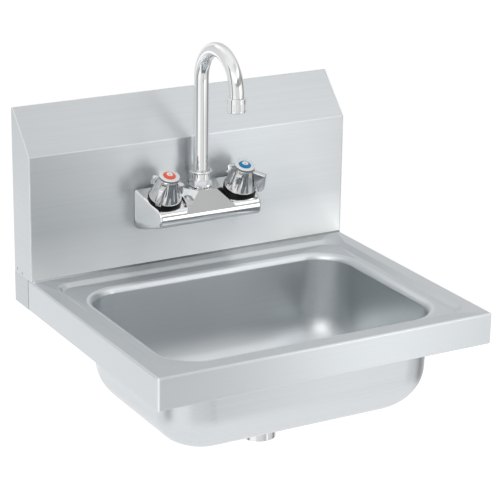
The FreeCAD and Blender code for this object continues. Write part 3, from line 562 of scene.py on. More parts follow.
# Grey of the cap seals, which paints the shade in the groove under each cap
seal_shade_grey = moulded("seal_shade_grey", (0.2, 0.2, 0.2), (0.26, 0.26, 0.25), 0.45)
black_rubber = moulded("gasket_rubber", (0.02, 0.02, 0.02), (0.035, 0.035, 0.035), 0.7)
red_enamel = moulded("index_red", (0.72, 0.085, 0.04), (0.8, 0.11, 0.05), 0.25, 900.0, 0.01)
blue_enamel = moulded("index_blue", (0.004, 0.2, 0.46), (0.006, 0.23, 0.5), 0.25, 900.0, 0.01, gleam=0.25)
ivory = moulded("button_ivory", (0.8, 0.78, 0.7), (0.86, 0.84, 0.77), 0.3, 900.0, 0.01)
satin_cap = moulded("cap_satin", (0.78, 0.79, 0.8), (0.86, 0.87, 0.88), 0.28, 700.0, 0.01, 1.0)
turned_brass = moulded("turned_brass", (0.6, 0.42, 0.18), (0.7, 0.52, 0.25), 0.3, 500.0, 0.02, 1.0)
white_plastic = moulded("bearing_plastic", (0.75, 0.75, 0.73), (0.82, 0.82, 0.8), 0.4)
lapped_ceramic = moulded("disc_ceramic", (0.8, 0.8, 0.78), (0.88, 0.88, 0.86), 0.15, 900.0, 0.01)
pressed_fibre = moulded("pressed_fibre", (0.3, 0.17, 0.09), (0.42, 0.26, 0.15), 0.8, 600.0, 0.1)
cast_metal = moulded("cast_metal", (0.38, 0.38, 0.38), (0.5, 0.5, 0.5), 0.5, 500.0, 0.1, 1.0)


# Deck and bowl
def recess_loop(inset, z):
    half_x = WIDTH / 2 - RECESS_SIDE
    front = -DEPTH + RECESS_FRONT
    back = SPLASH_FACE - RECESS_BACK
    half_y = (back - front) / 2
    return outline(half_x - inset, half_y - inset, RECESS_CORNER - inset / 2, (back + front) / 2, z)


def apron_loop(inset, z):
    half_y = (DEPTH + DECK_BACK) / 2
    centre = (DECK_BACK - DEPTH) / 2
    return outline(WIDTH / 2 - inset, half_y - inset, max(FOLD - inset, LEAST_CORNER), centre, z)


def rim_loop(inset, z):
    corner = BOWL_CORNER + LIP_OUT - inset
    return outline(BOWL_LENGTH / 2 + LIP_OUT - inset, BOWL_WIDTH / 2 + LIP_OUT - inset, corner, BOWL_Y, z)


def deck_side(drop):
    """Loops of one side of the deck sheet, from the bowl's rim out to the apron's foot."""
    loops = [rim_loop(0, LEDGE_Z - drop), rim_loop(-RIM_MARGIN, LEDGE_Z - drop)]
    for k in range(RECESS_STEPS, -1, -1):
        share = k / RECESS_STEPS
        depth = RECESS_DEPTH * (1 - math.cos(math.pi * share)) / 2
        loops.append(recess_loop(RECESS_SLOPE * share, DECK_Z - depth - drop))
    radius = FOLD - drop
    for a in quarter_turn(FOLD_STEPS):
        loops.append(apron_loop(FOLD - radius * math.sin(a), DECK_Z - FOLD + radius * math.cos(a)))
    return loops


def build_deck(bm):
    foot = DECK_Z - APRON
    loops = deck_side(0)
    for a in quarter_turn(HEM_STEPS):
        loops.append(apron_loop(HEM_FOLD * (1 - math.cos(a)), foot + HEM_FOLD * (1 - math.sin(a))))
    loops.append(apron_loop(HEM, foot))
    loops.append(apron_loop(HEM, foot + SHEET))
    loops.append(apron_loop(SHEET, foot + SHEET))
    loops.extend(reversed(deck_side(SHEET)))
    add_loops(bm, loops, ring=True)


# Shares of the way down the bowl's wall, and from the foot of the wall to the drain
WALL_SHARES = (0.25, 0.5, 0.75)
FLOOR_SHARES = (0.3, 0.6, 0.85, 1.0)


def bowl_side(grow):
    """Loops of the bowl's inside (grow 0) or outside (grow equal to the sheet)."""
    loops = []
    for a in quarter_turn(LIP_STEPS):
        loops.append(rim_loop((LIP - grow) * math.sin(a), LEDGE_Z - LIP + (LIP - grow) * math.cos(a)))
    foot_inset = LIP - LIP_OUT + WALL_DRAFT
    top = LEDGE_Z - LIP
    bottom = FLOOR_Z + FLOOR_RADIUS
    wall_corner = BOWL_CORNER + LIP_OUT - LIP
    for share in WALL_SHARES:
        inset = LIP - LIP_OUT + WALL_DRAFT * share - grow
        corner = wall_corner + grow + (FOOT_CORNER - wall_corner) * share
        loops.append(outline(BOWL_LENGTH / 2 - inset, BOWL_WIDTH / 2 - inset, corner, BOWL_Y,
                             top + (bottom - top) * share))
    for a in quarter_turn(FLOOR_STEPS):
        inset = foot_inset + FLOOR_RADIUS - (FLOOR_RADIUS + grow) * math.cos(a)
        z = FLOOR_Z + FLOOR_RADIUS - (FLOOR_RADIUS + grow) * math.sin(a)
        corner = FOOT_CORNER + grow + (FLOOR_CORNER - FOOT_CORNER) * (1 - math.cos(a))
        loops.append(outline(BOWL_LENGTH / 2 - inset, BOWL_WIDTH / 2 - inset, corner, BOWL_Y, z))
    last = loops[-1]
    for share in FLOOR_SHARES:
        ring = []
        for p in last:
            a = math.atan2(p.y - BOWL_Y, p.x)
            on_hole = Vector((DRAIN_HOLE * math.cos(a), BOWL_Y + DRAIN_HOLE * math.sin(a), p.z))
            ring.append(p.lerp(on_hole, share))
        loops.append(ring)
    return loops


def build_bowl(bm):
    add_loops(bm, bowl_side(0) + list(reversed(bowl_side(SHEET))), ring=True)


# Shares of painted light on the deck: its flats, its outer edges and corners, where it is a painted
# highlight, and its back right of the middle, which is painted lighter than the left
DECK_SHARE = 0.42
EDGE_SHARE = 0.6
CORNER_SHARE = 1.0
BACK_SHARE = 0.13
# Least upward part of the normal of a face that lies flat
FLAT_NORMAL = 0.99


def deck_shine(face):
    """Painted highlight along the welded front corners, painted shade between the bowl and the splash, and
    painted light on the flats right of the middle.
    """
    centre = face.center
    side = abs(centre.x) > WIDTH / 2 - FOLD
    front = centre.y < FOLD - DEPTH
    if side and front:
        return CORNER_SHARE
    if centre.z > DECK_Z - FOLD and (side or front):
        return EDGE_SHARE
    if face.normal.z < FLAT_NORMAL:
        return DECK_SHARE
    past_x = max(abs(centre.x) - BOWL_LENGTH / 2 + BOWL_CORNER, 0)
    past_y = max(centre.y - BOWL_Y - BOWL_WIDTH / 2 + BOWL_CORNER, 0)
    back = 1 - math.atan2(past_x, past_y) / (math.pi / 2) if past_y > 0 else 0
    return DECK_SHARE * (1 - back) + (BACK_SHARE * (1 - back) if centre.x > 0 else 0)


# Shares of painted highlight on the bowl's rolled lip and on its outside, and how far down the lip it reaches
LIP_SHARE = 0.6
OUTSIDE_SHARE = 0.04
LIP_HIGHLIT = 0.8 * LIP


def bowl_shine(face):
    """Painted highlight on the rolled lip, none inside, and hardly any on the outside."""
    out = face.center - Vector((0, BOWL_Y, LEDGE_Z))
    if out.dot(face.normal) > 0:
        return OUTSIDE_SHARE
    return LIP_SHARE if face.center.z > LEDGE_Z - LIP_HIGHLIT else 0.0


deck = piece("deck_sheet", closed_mesh("deck_sheet", build_deck), deck_steel, "basin", "basin_steel", "deck")
paint_light_faces(grain_uv(even_normals(deck), 0), deck_shine)
bowl = piece("bowl_pressing", closed_mesh("bowl_pressing", build_bowl), bowl_steel, "basin", "basin_steel",
             "bowl")
paint_light_faces(grain_uv(even_normals(bowl), 0), bowl_shine)

sheet_piece("backsplash", splash_steel, 0, 0.4 * MM, 0.3)
for node in ("splash_end_left", "splash_end_right"):
    sheet_piece(node, end_steel, 1, 0.5 * MM)
for node in ("rear_skirt_left", "rear_skirt_right"):
    sheet_piece(node, shaded_skirt_steel, 1, 0.3 * MM)
grain_uv(dressed("wall_bracket", bracket_steel, "basin", "bracket_steel", 0.3 * MM, 2), 0)


# Welds, and a dark fillet that paints the shade line between the deck and the splash, as looks only
SEAM_FILLET = 1.9 * MM
SEAM_PARTS = 64
WELD_STEPS = 6
WELD_SEGMENTS = 24
WELD_SUNK = 0.2 * MM
# Share of painted highlight on the seam fillet against the place along it, from -1 at the left end to 1
SEAM_SHINE = ((-1, 0.8), (-0.75, 0.6), (-0.5, 0.16), (-0.3, 0.0), (0, 0.02), (0.2, 0.2), (1, 0.25))


def build_seam(bm):
    """Hollow fillet in the corner between the deck and the splash, whose dark steel is a painted shade line.
    """
    back = SPLASH_FACE + WELD_SUNK
    section = [(back, DECK_Z - WELD_SUNK), (SPLASH_FACE - SEAM_FILLET, DECK_Z - WELD_SUNK)]
    section += arc(SPLASH_FACE - SEAM_FILLET, DECK_Z + SEAM_FILLET, SEAM_FILLET, -90, 0, WELD_STEPS)
    section.append((back, DECK_Z + SEAM_FILLET))
    half = WIDTH / 2 - SHEET
    places = [half * (2 * k / SEAM_PARTS - 1) for k in range(SEAM_PARTS + 1)]
    rows = add_loops(bm, [[Vector((x, y, z)) for y, z in section] for x in places])
    for row in (rows[0], rows[-1]):
        bm.faces.new(row)


def seam_shine(face):
    """Painted highlight near the left end, painted shade from there to the middle, a faint painted highlight
    to the right.
    """
    place = face.center.x / (WIDTH / 2)
    for (start, low), (end, high) in zip(SEAM_SHINE, SEAM_SHINE[1:]):
        if place <= end:
            return low + (high - low) * (place - start) / (end - start)
    return SEAM_SHINE[-1][1]


seam = piece("splash_seam_shade_fillet", closed_mesh("splash_seam_shade_fillet", build_seam, 50), weld_and_shade_steel, "basin",
             "basin_steel")
paint_light_faces(grain_uv(seam, 0), seam_shine)

# Weld marks at the left back: radius and height of each, its place and the axis that it faces
CORNER_MARK = Vector((2.4 * MM - WIDTH / 2, SPLASH_FACE - 1.2 * MM, DECK_Z))
BACK_MARK = Vector((-WIDTH / 2, -8 * MM, DECK_Z + 5 * MM))
FRONT_MARK = Vector((-WIDTH / 2, -23 * MM, DECK_Z + 3.3 * MM))
WELD_MARKS = (("corner_weld", 2.3 * MM, 1.8 * MM, CORNER_MARK, "Z"),
              ("spot_weld_back", 1.3 * MM, 0.4 * MM, BACK_MARK, "X"),
              ("spot_weld_front", 1.3 * MM, 0.4 * MM, FRONT_MARK, "X"))
# Share of painted highlight on each mark by the axis that it faces, full on the corner bead
MARK_SHINE = {"Z": 1.0, "X": 0.3}


def build_weld(bm, radius, height, place, facing):
    """Low dome over a cone that is sunk into the sheet."""
    profile = [(0, -height)]
    profile += [(radius * math.cos(a), height * math.sin(a)) for a in quarter_turn(WELD_STEPS)[:-1]]
    profile.append((0, height))
    add_lathe(bm, profile, WELD_SEGMENTS)
    turn = Matrix.Rotation(math.radians(-90), 4, "Y") if facing == "X" else Matrix()
    bmesh.ops.transform(bm, matrix=Matrix.Translation(place) @ turn, verts=bm.verts)


for mark, radius, height, place, facing in WELD_MARKS:
    dome = closed_mesh(mark, lambda bm: build_weld(bm, radius, height, place, facing), 60)
    weld = piece(mark, dome, weld_and_shade_steel, "basin", "basin_steel")
    paint_light_faces(grain_uv(weld, 1), lambda face: MARK_SHINE[facing])

# Tap
dressed("tap_body", bright_chrome, "basin", "tap_chrome", 0.7 * MM)
dressed("aerator_housing", bright_chrome, "spout", "tap_chrome", 0.25 * MM, 2)


def hexagon_radius(turn):
    """Distance from the nut's axis to its flats along a bearing."""
    return NUT_FLATS / 2 / math.cos((turn + math.pi / 6) % (math.pi / 3) - math.pi / 6)


def build_nut(bm):
    """Spout nut: hexagon with rounded corners, neck and round flared rim with a dished top."""
    bottom = BODY_TOP + NUT_LIFT
    neck = bottom + NUT_HEIGHT - NUT_NECK_HEIGHT
    shelf = bottom + NUT_HEIGHT
    top = shelf + NUT_RIM_HEIGHT
    flat = NUT_FLATS / 2
    corner = flat / math.cos(math.pi / 6)
    soft = NUT_RIM_HEIGHT / 2
    bore = TUBE_RADIUS + TUBE_GAP
    rounding = [(flat + 0.2 * MM, 0.2 * MM), (corner - 0.6 * MM, 0.8 * MM), (corner - 0.3 * MM, 1.4 * MM)]
    profile = [(BOSS_RADIUS, top - NUT_TOP_WALL), (BOSS_RADIUS, bottom), (flat - 0.4 * MM, bottom)]
    profile += [(radius, bottom + rise) for radius, rise in rounding]
    profile += [(radius, neck - rise) for radius, rise in reversed(rounding)]
    hexagon_rows = range(2, len(profile))
    profile += [(NUT_NECK_RADIUS, neck), (NUT_NECK_RADIUS, shelf - 0.8 * MM)]
    profile += arc(NUT_RIM_RADIUS - soft, shelf + soft, soft, -80, 90, 9)
    profile += [(NUT_DISH_RADIUS + 0.3 * MM, top), (NUT_DISH_RADIUS, top - 0.1 * MM),
                (NUT_DISH_FOOT, top - NUT_DISH_DEPTH), (bore, top - NUT_DISH_DEPTH),
                (bore, top - NUT_TOP_WALL)]
    rows = []
    for k, (radius, z) in enumerate(profile):
        row = []
        for a in full_turn(NUT_SEGMENTS):
            reach = min(radius, hexagon_radius(a)) if k in hexagon_rows else radius
            row.append(Vector((reach * math.cos(a), SPOUT_Y + reach * math.sin(a), z)))
        rows.append(row)
    add_loops(bm, rows, ring=True)


nut = piece("spout_nut_shell", closed_mesh("spout_nut_shell", build_nut, 30), bright_chrome, "basin",
            "tap_chrome", "spout_nut")
even_normals(nut)


def build_spout(bm):
    """Gooseneck tube with its bore: upright leg, half turn, short tail."""
    foot = BODY_TOP - SPOUT_SUNK
    top = DECK_Z + SPOUT_CENTRE_RISE
    tail = top - SPOUT_TAIL
    bend = SPOUT_REACH / 2
    stations = [(SPOUT_Y, foot, 0.0), (SPOUT_Y, (foot + top) / 2, 0.0)]
    for k in range(ARCH_STEPS + 1):
        a = math.pi * k / ARCH_STEPS
        stations.append((SPOUT_Y - bend + bend * math.cos(a), top + bend * math.sin(a), a))
    stations.append((SPOUT_Y - SPOUT_REACH, tail, math.pi))
    outer = []
    inner = []
    for y, z, a in stations:
        for loops, radius in ((outer, TUBE_RADIUS), (inner, TUBE_RADIUS - TUBE_WALL)):
            loop = []
            for t in full_turn(TUBE_SEGMENTS):
                out = radius * math.sin(t)
                loop.append(Vector((radius * math.cos(t), y + out * math.cos(a), z + out * math.sin(a))))
            loops.append(loop)
    add_loops(bm, outer + list(reversed(inner)), ring=True)


spout = piece("spout_gooseneck", closed_mesh("spout_gooseneck", build_spout), bright_chrome, "spout",
              "tap_chrome", "spout_tube")
even_normals(spout)


# Handles, drawn about the valve's axis and then put in place
FLUTES = 16
FLUTE_SEGMENTS = 12
FLUTE_DEPTH = 0.75 * MM
EDGE = 0.25 * MM
WING_TURN = 315
LEVER_TURN = 225
FIN_ROUNDING = 0.17


def valve_place(hand):
    """Matrix from the valve's own axis to the part, for the hot (-1) or the cold (1) side."""
    place = Matrix.Translation((-VALVE_SPACING / 2, VALVE_Y, VALVE_Z)) @ Matrix.Rotation(SLOPE, 4, "X")
    if hand > 0:
        place = Matrix.Diagonal((-1, 1, 1, 1)) @ place
    return place


def cone_radius(height):
    """Radius of the handle's canopy at a height on the valve's axis."""
    foot = SKIRT_HEIGHT + SKIRT_LIP_HEIGHT
    top = CROWN_HEIGHT - CROWN_BAND
    return SKIRT_RADIUS + (CROWN_RADIUS - EDGE - SKIRT_RADIUS) * (height - foot) / (top - foot)


def build_canopy(bm):
    """Hollow fluted cone with a rim below, a plain band above and the stem's hub inside."""
    foot = SKIRT_HEIGHT + SKIRT_LIP_HEIGHT
    top = CROWN_HEIGHT - CROWN_BAND
    cone = []
    for k in range(CONE_STEPS + 1):
        height = foot + (top - foot) * (k / CONE_STEPS)
        cone.append((cone_radius(height), height))
    inner_top = top - 2 * HANDLE_WALL
    profile = [(SCREW_HOLE, STEM_HEIGHT), (SCREW_HOLE, ROOF_HEIGHT), (GROOVE_RADIUS, ROOF_HEIGHT),
               (GROOVE_RADIUS, CROWN_HEIGHT), (CROWN_RADIUS - EDGE, CROWN_HEIGHT),
               (CROWN_RADIUS, CROWN_HEIGHT - EDGE), (CROWN_RADIUS, top + EDGE)]
    first = len(profile)
    profile += list(reversed(cone))
    last = len(profile)
    profile += [(SKIRT_LIP_RADIUS, foot - EDGE), (SKIRT_LIP_RADIUS, SKIRT_HEIGHT + EDGE),
                (SKIRT_LIP_RADIUS - EDGE, SKIRT_HEIGHT), (SKIRT_RADIUS - HANDLE_WALL, SKIRT_HEIGHT),
                (SKIRT_RADIUS - HANDLE_WALL, foot), (cone_radius(inner_top) - HANDLE_WALL, inner_top),
                (HUB_RADIUS, inner_top), (HUB_RADIUS, HUB_BOTTOM), (STEM_RADIUS, HUB_BOTTOM),
                (STEM_RADIUS, STEM_HEIGHT)]
    rows = []
    for k, (radius, z) in enumerate(profile):
        share = (k - first) / (last - 1 - first)
        depth = FLUTE_DEPTH * math.sin(math.pi * min(max(share, 0), 1)) if first < k < last - 1 else 0
        row = []
        for a in full_turn(FLUTES * FLUTE_SEGMENTS):
            r = radius - depth * (1 - math.cos(FLUTES * a)) / 2
            row.append(Vector((r * math.cos(a), r * math.sin(a), z)))
        rows.append(row)
    add_loops(bm, rows, ring=True)


def add_fin(bm, turn, reach, shoulder, foot_reach, foot, corner, width):
    """Upright wing from within the canopy's wall out to reach, with rounded edges."""
    top = CROWN_HEIGHT - CROWN_BAND
    sunk = HANDLE_WALL / 2
    points = [(cone_radius(foot) - sunk, foot), (foot_reach - corner, foot)]
    points += [(foot_reach - corner / 3, foot + corner / 3), (foot_reach, foot + corner), (reach, shoulder),
               (cone_radius(top) - sunk, top)]
    spin = Matrix.Rotation(math.radians(turn), 4, "Z")
    sides = []
    for y in (-width / 2, width / 2):
        sides.append([bm.verts.new(spin @ Vector((r, y, z))) for r, z in points])
    near, far = sides
    faces = [bm.faces.new(near), bm.faces.new(list(reversed(far)))]
    count = len(points)
    for k in range(count):
        m = (k + 1) % count
        faces.append(bm.faces.new((near[m], near[k], far[k], far[m])))
    bmesh.ops.recalc_face_normals(bm, faces=faces)
    edges = list({edge for face in faces for edge in face.edges})
    bmesh.ops.bevel(bm, geom=edges, offset=width * FIN_ROUNDING, segments=4, profile=0.5, affect="EDGES",
                    clamp_overlap=True)


def build_handle(bm):
    build_canopy(bm)
    for k in range(3):
        add_fin(bm, WING_TURN + 90 * k, WING_REACH, WING_SHOULDER, WING_FOOT_REACH, WING_FOOT, WING_CORNER,
                WING_WIDTH)
    add_fin(bm, LEVER_TURN, LEVER_REACH, LEVER_SHOULDER, LEVER_FOOT_REACH, LEVER_FOOT, LEVER_CORNER,
            LEVER_WIDTH)


def build_cap(bm):
    """Thin disc with a soft edge on a spigot, with the seat of the index ring."""
    bottom = HANDLE_HEIGHT - CAP_THICKNESS
    foot = ROOF_HEIGHT + CAP_LIFT
    seat = HANDLE_HEIGHT - INDEX_SEAT
    soft = CAP_THICKNESS / 2
    profile = [(INDEX_INNER, foot), (GROOVE_RADIUS - FIT, foot), (GROOVE_RADIUS - FIT, bottom),
               (CAP_RADIUS - EDGE, bottom)]
    profile += arc(CAP_RADIUS - soft, HANDLE_HEIGHT - soft, soft, -30, 90, 5)
    profile += [(INDEX_RADIUS + INDEX_SEAT_RIM, HANDLE_HEIGHT), (INDEX_RADIUS + FIT, HANDLE_HEIGHT - EDGE),
                (INDEX_RADIUS + FIT, seat), (INDEX_INNER, seat)]
    add_lathe(bm, profile)


def build_cap_seal(bm):
    """Grey ring between the canopy and the cap: a seal whose grey paints the shade in the groove."""
    bottom = CROWN_HEIGHT
    top = HANDLE_HEIGHT - CAP_THICKNESS
    outer = GROOVE_RADIUS + CAP_SEAL
    add_lathe(bm, [(GROOVE_RADIUS, bottom), (outer, bottom), (outer + CAP_SEAL_BULGE, (bottom + top) / 2),
                   (outer, top), (GROOVE_RADIUS, top)])


def build_index(bm):
    """Coloured cone from the cap up to the button."""
    bottom = HANDLE_HEIGHT - INDEX_SEAT
    top = HANDLE_HEIGHT + INDEX_RISE
    add_lathe(bm, [(INDEX_INNER, bottom), (INDEX_RADIUS, bottom), (INDEX_RADIUS, HANDLE_HEIGHT + EDGE),
                   (INDEX_RADIUS - EDGE, HANDLE_HEIGHT + 2 * EDGE), (INDEX_INNER + 2 * EDGE, top - EDGE / 2),
                   (INDEX_INNER + EDGE, top), (INDEX_INNER, top)])


def build_button(bm):
    """Ivory plug whose face dips to a small hole."""
    bottom = HANDLE_HEIGHT - BUTTON_DEPTH
    top = HANDLE_HEIGHT + INDEX_RISE
    outer = INDEX_INNER - FIT
    add_lathe(bm, [(BUTTON_HOLE, bottom), (outer, bottom), (outer, top - EDGE), (outer - EDGE, top),
                   (BUTTON_HOLE + 2 * EDGE, top - EDGE), (BUTTON_HOLE, top - 2 * EDGE)])


def valve_mesh(name, build, hand, crease=CREASE):
    """Mesh drawn about the valve's axis and put in place."""
    def build_in_place(bm):
        build(bm)
        bmesh.ops.transform(bm, matrix=valve_place(hand), verts=bm.verts)

    return closed_mesh(name, build_in_place, crease)


def make_handle(side, hand, enamel, enamel_slot):
    body = side + "_handle"
    forms = [("handle", build_handle, shaded_handle_chrome, "tap_chrome", 30),
             ("index_cap", build_cap, satin_cap, "cap_satin", CREASE),
             ("index_ring", build_index, enamel, enamel_slot, CREASE),
             ("index_button", build_button, ivory, "button_ivory", CREASE)]
    for form, build, finish, slot, crease in forms:
        node = side + "_" + form
        name = node + "_shell"
        piece(name, valve_mesh(name, build, hand, crease), finish, body, slot, node)
    name = side + "_cap_seal"
    piece(name, valve_mesh(name, build_cap_seal, hand), seal_shade_grey, body, "cap_satin")


make_handle("hot", -1, red_enamel, "hot_red")
make_handle("cold", 1, blue_enamel, "cold_blue")


# Plain nodes whose shape is right: a finish each
def finish_nodes(material, *nodes):
    for node in nodes:
        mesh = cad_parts[node].data
        mesh.materials.clear()
        mesh.materials.append(material)


# The shrouds' near-black is painted shade under the handles
finish_nodes(shade_black_plastic, "hot_shroud", "cold_shroud")
finish_nodes(drain_chrome, "strainer_body", "strainer_basket")
finish_nodes(cast_metal, "strainer_locknut", "shank_washers", "hot_handle_screw", "cold_handle_screw")
finish_nodes(black_rubber, "strainer_gasket", "basket_stopper", "tap_gasket", "spout_o_rings",
             "aerator_washer", "hot_seat_seal", "cold_seat_seal")
finish_nodes(pressed_fibre, "strainer_washer")
finish_nodes(turned_brass, "hot_inlet_shank", "cold_inlet_shank", "shank_locknuts", "hot_valve_body",
             "cold_valve_body", "hot_valve_stem", "cold_valve_stem")
finish_nodes(white_plastic, "spout_bushing", "aerator_insert")
finish_nodes(lapped_ceramic, "hot_fixed_disc", "cold_fixed_disc", "hot_turning_disc", "cold_turning_disc")


# Camera
CAMERA_PLACE = Vector((-1.09868, -2.13496, 0.653295))
CAMERA_AZIMUTH = math.radians(29.5575)
CAMERA_DIP = math.radians(18.9498)
CAMERA_ROLL = math.radians(0.8533)
CAMERA_LENS = 143.436
CAMERA_SENSOR = 36.0


def make_camera():
    data = bpy.data.cameras.new("camera")
    data.lens = CAMERA_LENS
    data.sensor_width = CAMERA_SENSOR
    camera = bpy.data.objects.new("camera", data)
    bpy.context.scene.collection.objects.link(camera)
    across = math.cos(CAMERA_DIP)
    ahead = Vector((math.sin(CAMERA_AZIMUTH) * across, math.cos(CAMERA_AZIMUTH) * across,
                    -math.sin(CAMERA_DIP)))
    right = ahead.cross(Vector((0, 0, 1))).normalized()
    up = right.cross(ahead)
    c = math.cos(CAMERA_ROLL)
    s = math.sin(CAMERA_ROLL)
    turned_right = right * c + up * s
    turned_up = up * c - right * s
    axes = Matrix((turned_right, turned_up, -ahead)).transposed()
    camera.matrix_world = Matrix.Translation(CAMERA_PLACE) @ axes.to_4x4()
    bpy.context.scene.camera = camera


# Studio
STAGE_FLOOR = -0.95
STAGE_SIZE = 9.0
# Extra glow of the floor, and strengths of the world, as mirrors and viewers see them and for the rest
FLOOR_GLOW = 0.35
WORLD_SEEN = 1.0
WORLD_UNSEEN = 0.75
# Middle of the curved screen, which the lamps aim at too
CENTRE = Vector((0, -0.2, -0.1))


def camera_or_mirror(add_node, links):
    """1 for rays that a viewer, a mirror or a glass sends out, and 0 for the rest."""
    path = add_node("ShaderNodeLightPath")
    value = path.outputs["Is Camera Ray"]
    for name in ("Is Glossy Ray", "Is Transmission Ray"):
        node = add_node("ShaderNodeMath")
        node.operation = "MAXIMUM"
        links.new(value, node.inputs[0])
        links.new(path.outputs[name], node.inputs[1])
        value = node.outputs[0]
    return value


def make_world():
    world = bpy.data.worlds.new("studio")
    bpy.context.scene.world = world
    world.use_nodes = True
    nodes = world.node_tree.nodes
    links = world.node_tree.links
    background = nodes["Background"]
    background.inputs["Color"].default_value = (1, 1, 1, 1)
    seen = camera_or_mirror(nodes.new, links)
    strength = nodes.new("ShaderNodeMapRange")
    strength.inputs["To Min"].default_value = WORLD_UNSEEN
    strength.inputs["To Max"].default_value = WORLD_SEEN
    links.new(seen, strength.inputs["Value"])
    links.new(strength.outputs["Result"], background.inputs["Strength"])


def build_floor(bm):
    bmesh.ops.create_grid(bm, x_segments=2, y_segments=2, size=STAGE_SIZE)


def make_floor():
    mesh = closed_mesh("floor", build_floor)
    floor = bpy.data.objects.new("floor", mesh)
    floor.location = (0, 0, STAGE_FLOOR)
    bpy.context.scene.collection.objects.link(floor)
    finish = Finish("pale_floor")
    finish.set(Roughness=0.9)
    finish.join((0.86, 0.86, 0.86, 1), finish.shader.inputs["Base Color"])
    glow = finish.add("ShaderNodeEmission")
    finish.join((1, 1, 1, 1), glow.inputs["Color"])
    seen = camera_or_mirror(finish.nodes.new, finish.links)
    finish.join(finish.ramp(seen, 0.0, FLOOR_GLOW), glow.inputs["Strength"])
    both = finish.add("ShaderNodeAddShader")
    finish.join(finish.shader.outputs[0], both.inputs[0])
    finish.join(glow.outputs[0], both.inputs[1])
    finish.join(both.outputs[0], finish.nodes["Material Output"].inputs["Surface"])
    mesh.materials.append(finish.material)


# Brightness of the studio screen against the bearing from -Y towards +X in degrees, from low to high
SCREEN_LOW = ((-170, 1.2), (-124, 1.2), (-116, 1.0), (-106, 0.95), (-99, 0.3), (-90, 0.3), (-84, 1.0),
              (-76, 1.15), (-48, 1.15), (-38, 0.85), (0, 0.78), (10, 0.66), (18, 0.6), (22, 0.66), (26, 0.96),
              (31, 1.42), (36, 0.86), (44, 0.8), (50, 0.8), (66, 0.72), (76, 0.6), (82, 0.25), (92, 0.25),
              (100, 0.6), (120, 0.8), (170, 0.85))
SCREEN_LEVEL = ((-170, 0.76), (-120, 0.85), (-106, 0.95), (-99, 0.3), (-90, 0.3), (-84, 1.0), (-50, 1.0),
                (-38, 0.8), (0, 0.8), (20, 0.8), (26, 2.4), (34, 2.5), (39, 1.2), (60, 1.0), (72, 0.7),
                (82, 0.25), (92, 0.25), (100, 0.5), (120, 0.78), (170, 0.78))
SCREEN_MIDDLE = ((-170, 0.7), (-120, 0.85), (-106, 0.95), (-99, 0.4), (-90, 0.4), (-84, 1.0), (-50, 1.0),
                 (-38, 0.6), (-15, 0.42), (27, 0.36), (31, 0.56), (42, 0.5), (60, 0.42), (90, 0.45),
                 (120, 0.72), (170, 0.7))
SCREEN_ABOVE = ((-170, 1.5), (-145, 0.9), (-120, 0.85), (-100, 1.0), (-56, 1.0), (-48, 1.1), (-36, 1.1),
                (-24, 1.0), (20, 1.1), (34, 1.7), (52, 1.8), (66, 1.2), (90, 0.9), (120, 0.74), (170, 0.72))
SCREEN_HIGH = ((-170, 1.2), (-120, 0.9), (-60, 1.0), (0, 0.85), (28, 0.74), (52, 0.69), (60, 0.92),
               (120, 0.95), (170, 0.85))
# Elevations, in degrees, between which each brightness above the lowest sets in
SCREEN_STEPS = ((SCREEN_LEVEL, -12, -5), (SCREEN_MIDDLE, 14, 19), (SCREEN_ABOVE, 32, 38),
                (SCREEN_HIGH, 48, 55))
# A lamp on the screen: bearing, elevation and reach to the side and up, in degrees, the share of its
# reach that is fully lit, and its level
SPOT_BEARING = -42.0
SPOT_RISE = 33.0
SPOT_WIDTH = 36.0
SPOT_HEIGHT = 12.0
SPOT_CORE = 0.4
SPOT_LEVEL = 2.1
# The screen's reach to either side and its bottom and top, in degrees, and its brightest value
SCREEN_SPAN = 170.0
SCREEN_BOTTOM = -45.0
SCREEN_TOP = 70.0
SCREEN_RADIUS = 1.5
SCREEN_PEAK = 5.0


def screen_rise(degrees):
    """Place of an elevation on the screen, from 0 at its bottom to 1 at its top."""
    return (degrees - SCREEN_BOTTOM) / (SCREEN_TOP - SCREEN_BOTTOM)


def screen_band(finish, bearing, stops):
    """Brightness along the screen's bearing, from a few stops."""
    curve = finish.add("ShaderNodeFloatCurve")
    points = curve.mapping.curves[0].points
    places = [((degrees + SCREEN_SPAN) / (2 * SCREEN_SPAN), level / SCREEN_PEAK) for degrees, level in stops]
    points[0].location = places[0]
    points[-1].location = places[-1]
    for place in places[1:-1]:
        points.new(*place)
    for point in points:
        point.handle_type = "VECTOR"
    curve.mapping.update()
    finish.join(bearing, curve.inputs["Value"])
    return curve.outputs["Value"]


def build_screen(bm):
    uv = bm.loops.layers.uv.new("screen")
    columns = 68
    rows = 24
    grid = []
    for i in range(columns + 1):
        bearing = math.radians(-SCREEN_SPAN + 2 * SCREEN_SPAN * i / columns)
        column = []
        for j in range(rows + 1):
            rise = math.radians(SCREEN_BOTTOM + (SCREEN_TOP - SCREEN_BOTTOM) * j / rows)
            out = SCREEN_RADIUS * math.cos(rise)
            height = SCREEN_RADIUS * math.sin(rise)
            offset = Vector((out * math.sin(bearing), -out * math.cos(bearing), height))
            column.append(bm.verts.new(CENTRE + offset))
        grid.append(column)
    for i in range(columns):
        for j in range(rows):
            face = bm.faces.new((grid[i][j], grid[i + 1][j], grid[i + 1][j + 1], grid[i][j + 1]))
            for loop, (u, v) in zip(face.loops, ((i, j), (i + 1, j), (i + 1, j + 1), (i, j + 1))):
                loop[uv].uv = (u / columns, v / rows)


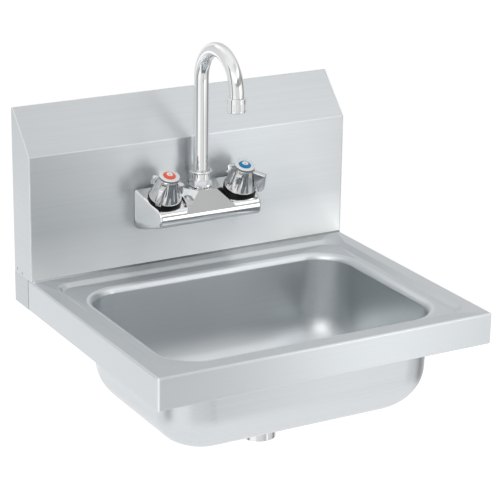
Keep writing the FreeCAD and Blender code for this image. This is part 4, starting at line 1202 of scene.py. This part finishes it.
def make_screen():
    """Large curved softbox in front of the part, graded from side to side and up."""
    screen = bpy.data.objects.new("screen", closed_mesh("screen", build_screen))
    bpy.context.scene.collection.objects.link(screen)
    screen.visible_camera = False
    screen.visible_diffuse = False
    screen.visible_shadow = False
    finish = Finish("softbox")
    parts = finish.add("ShaderNodeSeparateXYZ")
    finish.join(finish.add("ShaderNodeUVMap", uv_map="screen").outputs[0], parts.inputs[0])
    bearing = parts.outputs["X"]
    rise = parts.outputs["Y"]
    level = screen_band(finish, bearing, SCREEN_LOW)
    for stops, start, end in SCREEN_STEPS:
        share = finish.ramp(rise, 0, 1, screen_rise(start), screen_rise(end))
        level = finish.mix("FLOAT", share, level, screen_band(finish, bearing, stops))
    away = finish.add("ShaderNodeCombineXYZ")
    finish.join(finish.ramp(bearing, (-SCREEN_SPAN - SPOT_BEARING) / SPOT_WIDTH,
                            (SCREEN_SPAN - SPOT_BEARING) / SPOT_WIDTH), away.inputs["X"])
    finish.join(finish.ramp(rise, (SCREEN_BOTTOM - SPOT_RISE) / SPOT_HEIGHT,
                            (SCREEN_TOP - SPOT_RISE) / SPOT_HEIGHT), away.inputs["Y"])
    distance = finish.add("ShaderNodeVectorMath", operation="LENGTH")
    finish.join(away.outputs[0], distance.inputs[0])
    spot = finish.ramp(distance.outputs["Value"], SPOT_LEVEL, 0, SPOT_CORE, 1.0)
    glow = finish.add("ShaderNodeEmission")
    finish.join(finish.calculate("ADD", finish.ramp(level, 0, SCREEN_PEAK), spot), glow.inputs["Strength"])
    finish.join(glow.outputs[0], finish.nodes["Material Output"].inputs["Surface"])
    screen.data.materials.append(finish.material)


def make_lamp(name, place, side, power):
    """Square lamp that mirrors don't show."""
    data = bpy.data.lights.new(name, "AREA")
    data.shape = "SQUARE"
    data.size = side
    data.energy = power
    lamp = bpy.data.objects.new(name, data)
    lamp.location = place
    lamp.rotation_euler = (CENTRE - Vector(place)).to_track_quat("-Z", "Y").to_euler()
    lamp.visible_glossy = False
    bpy.context.scene.collection.objects.link(lamp)


make_camera()
make_world()
make_floor()
make_screen()
make_lamp("key", (-1.4, -1.2, 2.0), 1.4, 14)
make_lamp("fill", (1.8, -1.0, 1.2), 1.2, 6)
bpy.context.scene.view_settings.view_transform = "Standard"
